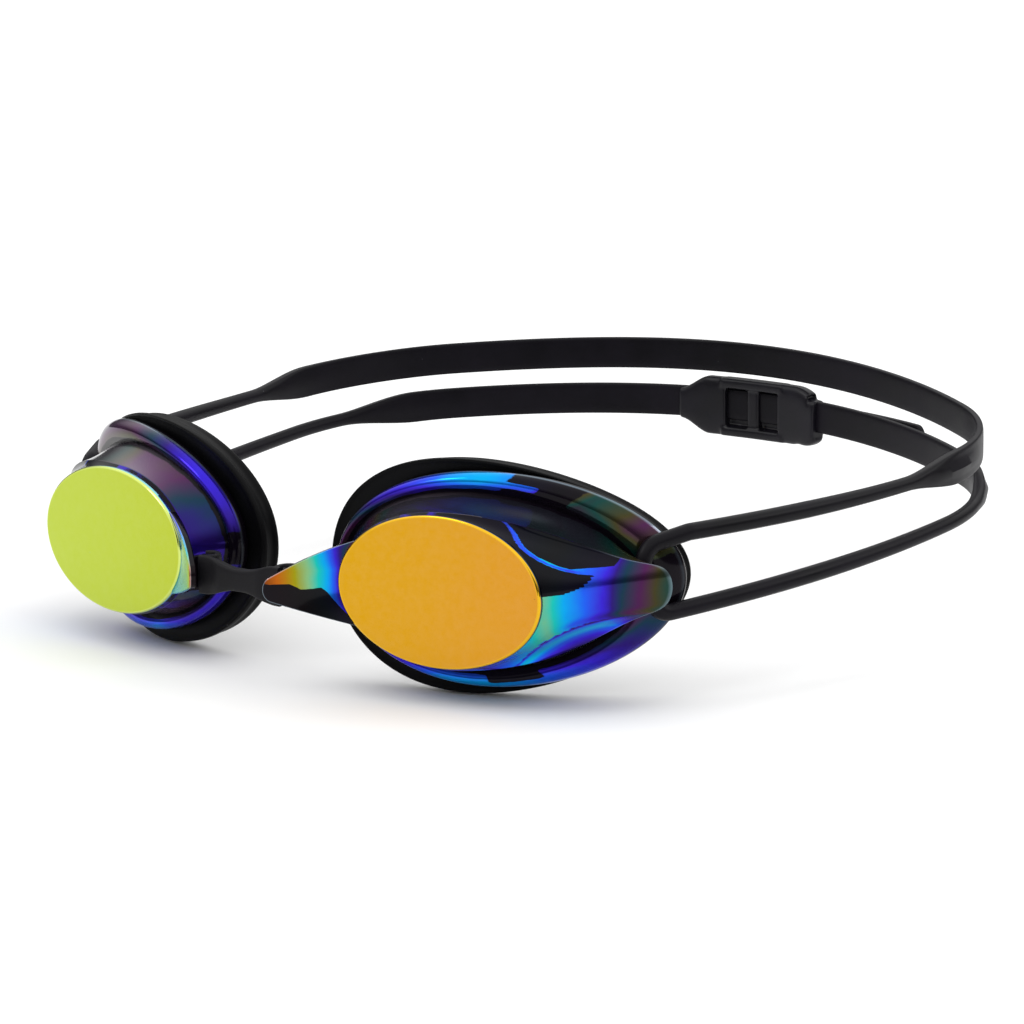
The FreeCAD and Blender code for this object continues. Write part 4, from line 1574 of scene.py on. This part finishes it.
@dataclass
class Strap:
    """The head strap: a cord up through each lens's slot, and two halves that widen behind the head."""

    route: StrapRoute
    flex_run: float = 34.0
    slot_run: float = 7.0
    side_points: int = 16
    cord_bend: float = 3.6
    slot_lean: float = 1.8
    middle_gap: float = 0.5
    temple_blend: float = 22.0
    band_blend: float = 26.0
    upper: StrapHalf = field(init=False)
    lower: StrapHalf = field(init=False)

    def __post_init__(self) -> None:
        """Sets out the two halves on the route."""
        self.upper = StrapHalf(self.route, start_height=8.9, slope=0.5, rear_height=16.0, band_run=66.0)
        self.lower = StrapHalf(self.route, start_height=-4.3, slope=3.7, rear_height=6.8, band_run=90.0)
        self.flex = self.upper.path(np.array([self.flex_run]))[0]

    def temple_cord(self, side: Side, tree: CordTree) -> Piece:
        """Makes the cord through a slot, with the front of both side cords.

        Args:
            side: The side.
            tree: The tree that sweeps it.

        Returns:
            The cord.
        """
        run = np.linspace(self.flex_run, self.slot_run, self.side_points)
        above, below = self.upper.path(run), self.lower.path(run)[::-1]
        slot, lean = self.route.slot, self.slot_lean
        top = np.array([slot[0] - lean, slot[1] - lean, self.upper.start_height - lean])
        foot = np.array([slot[0], slot[1], self.lower.start_height])
        points = np.vstack([above, top, foot, below]) * side.mirror
        cord = tree.cord(f"{side.word}_side_cord", points, self.upper.cord_radius, self.cord_bend)
        STRAP_SILICONE.coat(cord)
        f"{side.word}_temple"
        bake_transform(cord)
        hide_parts(f"{side.word}_temple_cord")
        return cord

    def upper_band(self) -> Piece:
        """Makes the upper half behind both flex points.

        Returns:
            The upper band, on the strap's body.
        """
        rings = self.upper.rings(self.flex_run, 2 * self.route.length - self.flex_run)
        band = solid_of_rings("upper_band", rings)
        STRAP_SILICONE.coat(band)
        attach(band, "strap")
        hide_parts("upper_strap")
        return band

    def lower_band(self, side: Side) -> Piece:
        """Makes one side of the lower half, from its flex point to the buckle's middle.

        Args:
            side: The side.

        Returns:
            The band.
        """
        rings = self.lower.rings(self.flex_run, self.route.length - self.middle_gap)
        band = solid_of_rings(f"{side.word}_lower_band", rings * side.mirror)
        STRAP_SILICONE.coat(band)
        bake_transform(band)
        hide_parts(f"{side.word}_lower_strap")
        return band

    def build(self) -> list[Piece]:
        """Makes the strap's pieces.

        Returns:
            The five pieces.
        """
        tree = CordTree(material_of(STRAP_SILICONE))
        cords = [self.temple_cord(side, tree) for side in Side]
        return cords + [self.upper_band()] + [self.lower_band(side) for side in Side]


@dataclass
class Buckle:
    """The slide on the lower band, a moulded plate with two windows, and the strap's free end.

    Lengths run along the band, from the wearer's right to the left. The two soft pairs are where a change
    starts and ends, measured from the plate's left end.
    """

    route: StrapRoute
    middle: float = 1.0
    height: float = 6.3
    half_length: float = 15.5
    half_height: float = 5.7
    half_thick: float = 1.75
    corner: float = 4.4
    band_half_height: float = 3.0
    window_half_height: float = 3.7
    window_length: float = 5.2
    window_bar: float = 2.4
    mouth: float = 1.5
    mouth_flare: float = 6.5
    mouth_share: float = 0.9
    top_slope: float = 2.4
    top_soft: tuple[float, float] = (-5.6, 0.6)
    foot_slope: float = 1.7
    foot_soft: tuple[float, float] = (-2.6, 0.0)
    bar_half_length: float = 1.3
    overlap: float = 0.8
    threaded_setback: float = 0.75
    threaded_half_thick: float = 0.6
    voxel: float = 0.26
    soft_rounds: int = 6
    tail_start: float = 19.9
    tail_length: float = 25.8
    tail_offset: float = 1.75
    tail_height: float = 6.1
    tail_half_height: float = 2.6
    tail_half_thick: float = 0.68
    tail_tip: float = 3.0
    strip_corner: float = 5.0

    def path(self, first: float, last: float, offset: float, height: float, steps: int) -> np.ndarray:
        """A line along the rear arc.

        Args:
            first: Where it starts, past the middle of the back.
            last: Where it ends.
            offset: How far outside the arc it lies.
            height: Its height.
            steps: How many points it has.

        Returns:
            The points.
        """
        along = np.linspace(first, last, steps) / self.route.rear_radius
        reach = self.route.rear_radius + offset
        centre = self.route.rear_centre
        flat = [centre[0] + reach * np.sin(along), centre[1] + reach * np.cos(along)]
        return np.stack([*flat, np.full(steps, height)], axis=-1)

    def slab(self, first: float, last: float, low: np.ndarray, high: np.ndarray, thick: float) -> Piece:
        """A rounded slab along the rear arc.

        Args:
            first: Where it starts, off the plate's middle.
            last: Where it ends.
            low: Its lower edge at each point, off the plate's middle.
            high: Its upper edge.
            thick: Half its thickness.

        Returns:
            The slab.
        """
        path = self.path(self.middle + first, self.middle + last, 0.0, self.height, len(low))
        path[:, 2] += (low + high) / 2
        return solid_of_rings("slab", swept(path, thick, (high - low) / 2, self.corner))

    def ends(self, steps: int = 50) -> list[Piece]:
        """Makes the wearer's right end, flared out of the band, and the left end, rounded off at its top.

        Args:
            steps: Points along each end.

        Returns:
            The two slabs.
        """
        inner = self.window_bar / 2 + self.window_length
        place = np.linspace(-self.half_length - self.mouth, -inner, steps)
        flared = smooth(place[0], place[0] + self.mouth_flare, place)
        high = self.band_half_height + (self.half_height - self.band_half_height) * flared
        flare = self.slab(place[0], place[-1], -high, high, self.mouth_share * self.half_thick)
        place = np.linspace(inner, self.half_length, steps)
        top = self.half_height - self.top_slope * smooth(*self.top_soft, place - self.half_length)
        foot = -self.half_height + self.foot_slope * smooth(*self.foot_soft, place - self.half_length)
        return [flare, self.slab(inner, self.half_length, foot, top, self.half_thick)]

    def rails(self, steps: int = 30) -> list[Piece]:
        """Makes the two rails, the middle bar and the threaded band behind the windows.

        Args:
            steps: Points along each rail.

        Returns:
            The four solids.
        """
        reach = self.window_bar / 2 + self.window_length + 1.0
        full, inner = np.full(steps, self.half_height), np.full(steps, self.window_half_height)
        bar = np.full(8, self.window_half_height + self.overlap)
        first, last = self.middle - reach, self.middle + reach
        backing = self.path(first, last, self.threaded_setback, self.height, steps)
        threaded = swept(backing, self.threaded_half_thick, inner + self.overlap, self.strip_corner)
        return [
            self.slab(-reach, reach, inner, full, self.half_thick),
            self.slab(-reach, reach, -full, -inner, self.half_thick),
            self.slab(-self.bar_half_length, self.bar_half_length, -bar, bar, self.bar_half_length),
            solid_of_rings("threaded", threaded),
        ]

    def plate(self) -> Piece:
        """Makes the plate as one moulding.

        Returns:
            The plate, on the lower half's body.
        """
        plate = fused("slide_buckle", self.ends() + self.rails(), self.voxel, self.soft_rounds)
        BUCKLE_PLASTIC.coat(plate)
        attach(plate, "lower_strap")
        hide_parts("strap_buckle")
        return plate

    def free_end(self, steps: int = 60) -> Piece:
        """Makes the strap's free end beyond the plate, thinned and rounded at its tip.

        Args:
            steps: Points along it.

        Returns:
            The free end, on its body.
        """
        end = self.tail_start + self.tail_length
        path = self.path(self.tail_start, end, self.tail_offset, self.tail_height, steps)
        place = np.linspace(0.0, self.tail_length, steps)
        rounded = smooth(self.tail_length - self.tail_tip, self.tail_length, place)
        tip = np.sqrt(np.clip(1 - rounded ** 2, 0.04, 1.0))
        thick = self.tail_half_thick * (0.6 + 0.4 * tip)
        tail = solid_of_rings("free_end", swept(path, thick, self.tail_half_height * tip, self.strip_corner))
        STRAP_SILICONE.coat(tail)
        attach(tail, "tail")
        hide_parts("strap_tail")
        return tail

    def build(self) -> list[Piece]:
        """Makes the plate and the free end."""
        return [self.plate(), self.free_end()]


# ---------------------------------------------------------------- the nose bridge


@dataclass
class NoseBridge:
    """The soft bridge: a waisted bar with a hook at each end that curls round a lens's post."""

    posts: tuple[np.ndarray, np.ndarray]
    bore: float = 1.3
    wall: float = 1.3
    hook_turn: tuple[float, float] = (42.0, 262.0)
    hook_steps: int = 44
    hook_tip: float = 0.72
    bar_steps: int = 42
    bar_sag: float = 0.35
    bar_half_thick: float = 1.1
    end_half_height: float = 3.35
    waist_half_height: float = 1.95
    corner: float = 4.5
    sides: int = 44

    def hook_arc(self, post: np.ndarray, side: Side) -> np.ndarray:
        """One hook's arc, seen from above.

        Args:
            post: The post that it curls round.
            side: The post's side.

        Returns:
            Points from its free end behind the tab to the bar.
        """
        turn = np.radians(np.linspace(*self.hook_turn, self.hook_steps))
        radius = self.bore + self.wall / 2
        return post[:2] + radius * np.stack([side.value * np.cos(turn), np.sin(turn)], axis=-1)

    def plan(self) -> np.ndarray:
        """Draws the bridge's middle line from above: round one post, along the bar and round the other.

        Returns:
            The points.
        """
        first = self.hook_arc(self.posts[0], Side.LEFT)
        last = self.hook_arc(self.posts[1], Side.RIGHT)[::-1]
        start, end = first[-1], last[0]
        share = np.linspace(0.0, 1.0, self.bar_steps)[1:-1, None]
        sag = self.bar_sag * np.sin(math.pi * share)
        bar = start + (end - start) * share + np.array([0.0, 1.0]) * sag
        return np.vstack([first, bar, last])

    def build(self) -> Piece:
        """Makes the bridge as one closed piece, on its body.

        Returns:
            The bridge.
        """
        line = self.plan()
        height = (self.posts[0][2] + self.posts[1][2]) / 2
        path = np.column_stack([line, np.full(len(line), height)])
        out = np.abs(path[:, 0]) / abs(self.posts[0][0])
        growth = self.end_half_height - self.waist_half_height
        high = self.waist_half_height + growth * smooth(0.1, 0.85, out)
        to_end = np.minimum(np.arange(len(path)), np.arange(len(path))[::-1])
        tip = self.hook_tip + (1 - self.hook_tip) * smooth(0.0, 5.0, to_end)
        thick = self.wall / 2 + (self.bar_half_thick - self.wall / 2) * smooth(0.75, 0.45, out)
        rings = swept(path, thick * tip, high * (0.9 + 0.1 * tip), self.corner, sides=self.sides)
        bridge = solid_of_rings("nose_bridge_clip", rings)
        BRIDGE_RUBBER.coat(bridge)
        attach(bridge, "bridge")
        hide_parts("nose_bridge")
        return bridge


# ---------------------------------------------------------------- the stage


@dataclass(frozen=True)
class Softbox:
    """A square studio light that looks at the object."""

    name: str
    place: tuple[float, float, float]
    size: float
    power: float

    def build(self, target: Vector) -> None:
        """Adds the light, aimed at a point.

        Args:
            target: The point.
        """
        lamp = bpy.data.lights.new(self.name, "AREA")
        lamp.size = self.size
        lamp.energy = self.power
        item = placed(self.name, lamp)
        item.location = Vector(self.place)
        item.rotation_euler = (Vector(self.place) - target).to_track_quat("Z", "Y").to_euler()


@dataclass(frozen=True)
class Camera:
    """A long lens that looks down a little from the wearer's left front."""

    azimuth: float = 38.86
    elevation: float = 11.5
    roll: float = -0.74
    distance: float = 774.94
    focal_length: float = 160.45
    sensor: float = 36.0
    near: float = 50.0
    aim: tuple[float, float, float] = (32.2, 8.9, 8.8)

    def build(self) -> None:
        """Adds the camera and makes it the scene's own."""
        turn, lift, roll = (math.radians(value) for value in (self.azimuth, self.elevation, self.roll))
        back = Vector((math.sin(turn) * math.cos(lift), -math.cos(turn) * math.cos(lift), math.sin(lift)))
        level = Vector((math.cos(turn), math.sin(turn), 0.0))
        upright = back.cross(level)
        right = level * math.cos(roll) + upright * math.sin(roll)
        up = upright * math.cos(roll) - level * math.sin(roll)
        data = bpy.data.cameras.new("camera")
        data.lens = self.focal_length
        data.sensor_width = self.sensor
        data.clip_start = self.near * MM
        item = placed("camera", data)
        place = (Vector(self.aim) + back * self.distance) * MM
        item.matrix_world = Matrix.Translation(place) @ Matrix((right, up, back)).transposed().to_4x4()
        bpy.context.scene.camera = item


@dataclass(frozen=True)
class Studio:
    """A plain pale floor, a surround that is dim at the sides and bright overhead, and soft lights.

    Lengths here are in metres. The surround's heights are a direction's: 0 is level and 1 is straight up.
    """

    floor_size: float = 12.0
    floor_gap: float = 0.0004
    floor_colour: Colour = (0.93, 0.93, 0.93, 1.0)
    surround_heights: tuple[float, float] = (0.1, 0.6)
    surround_strengths: tuple[float, float] = (0.1, 1.36)
    lights: tuple[Softbox, ...] = (
        Softbox("key", (-0.5, -0.9, 1.0), 0.45, 2.6),
        Softbox("rim", (0.9, 0.8, 0.6), 0.35, 1.2),
    )

    def add_floor(self, low: float) -> None:
        """Lays the floor just under the object's lowest point.

        Args:
            low: The height of that point.
        """
        half, level = self.floor_size / 2, low - self.floor_gap
        corners = [(-half, -half, level), (half, -half, level), (half, half, level), (-half, half, level)]
        mesh = bpy.data.meshes.new("floor")
        mesh.from_pydata(corners, [], [(0, 1, 2, 3)])
        nodes = Nodes("pale_floor")
        nodes.put(Base_Color=self.floor_colour, Roughness=0.85, Specular_IOR_Level=0.2)
        mesh.materials.append(nodes.material)
        placed("floor", mesh)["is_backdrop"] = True

    def add_surround(self) -> None:
        """Puts the surround round the scene."""
        world = bpy.data.worlds.new("surround")
        world.use_nodes = True
        tree = world.node_tree
        split = tree.nodes.new("ShaderNodeSeparateXYZ")
        height = tree.nodes.new("ShaderNodeMapRange")
        height.interpolation_type = "SMOOTHSTEP"
        limits = (*self.surround_heights, *self.surround_strengths)
        for name, number in zip(("From Min", "From Max", "To Min", "To Max"), limits):
            height.inputs[name].default_value = number
        tree.links.new(tree.nodes.new("ShaderNodeTexCoord").outputs["Generated"], split.inputs["Vector"])
        tree.links.new(split.outputs["Z"], height.inputs["Value"])
        tree.links.new(height.outputs["Result"], tree.nodes["Background"].inputs["Strength"])
        tree.nodes["Background"].inputs["Color"].default_value = (1.0, 1.0, 1.0, 1.0)
        bpy.context.scene.world = world
        bpy.context.scene.view_settings.view_transform = "Standard"

    def build(self, low: Vector, high: Vector) -> None:
        """Adds everything round the object.

        Args:
            low: The low corner of the object's box.
            high: The high corner.
        """
        self.add_floor(low.z)
        self.add_surround()
        for light in self.lights:
            light.build((low + high) / 2)


# ---------------------------------------------------------------- the whole object


def joint_place(record: dict, name: str) -> np.ndarray:
    """Where a joint's axis is, in millimetres."""
    return point_of(next(joint["pos_m"] for joint in record["joints"] if joint["name"] == name))


def report(what: str, pieces: list[Piece]) -> None:
    """Logs the size of each piece.

    Args:
        what: The sub-assembly's name.
        pieces: Its pieces.
    """
    for piece in pieces:
        LOG.info("%s: %s, %d faces", what, piece.name, len(piece.data.polygons))


def main() -> None:
    """Builds the object round the frame, sub-assembly by sub-assembly."""
    logging.basicConfig(level=logging.INFO, format="%(message)s")
    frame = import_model()
    Camera().build()
    posts = []
    for side in Side:
        cup_frame = CupFrame.from_record(side, frame["record"])
        report(f"{side.word} cup", EyeCup(side, cup_frame).build())
        posts.append(cup_frame.world(NoseTab(side, cup_frame).post_centre()))
    report("bridge", [NoseBridge((posts[0], posts[1])).build()])
    route = StrapRoute(joint_place(frame, "left_cup_swing"), joint_place(frame, "strap_adjust"))
    report("strap", Strap(route).build())
    report("buckle", Buckle(route).build())
    Studio().build(*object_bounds())


if __name__ == "__main__":
    main()
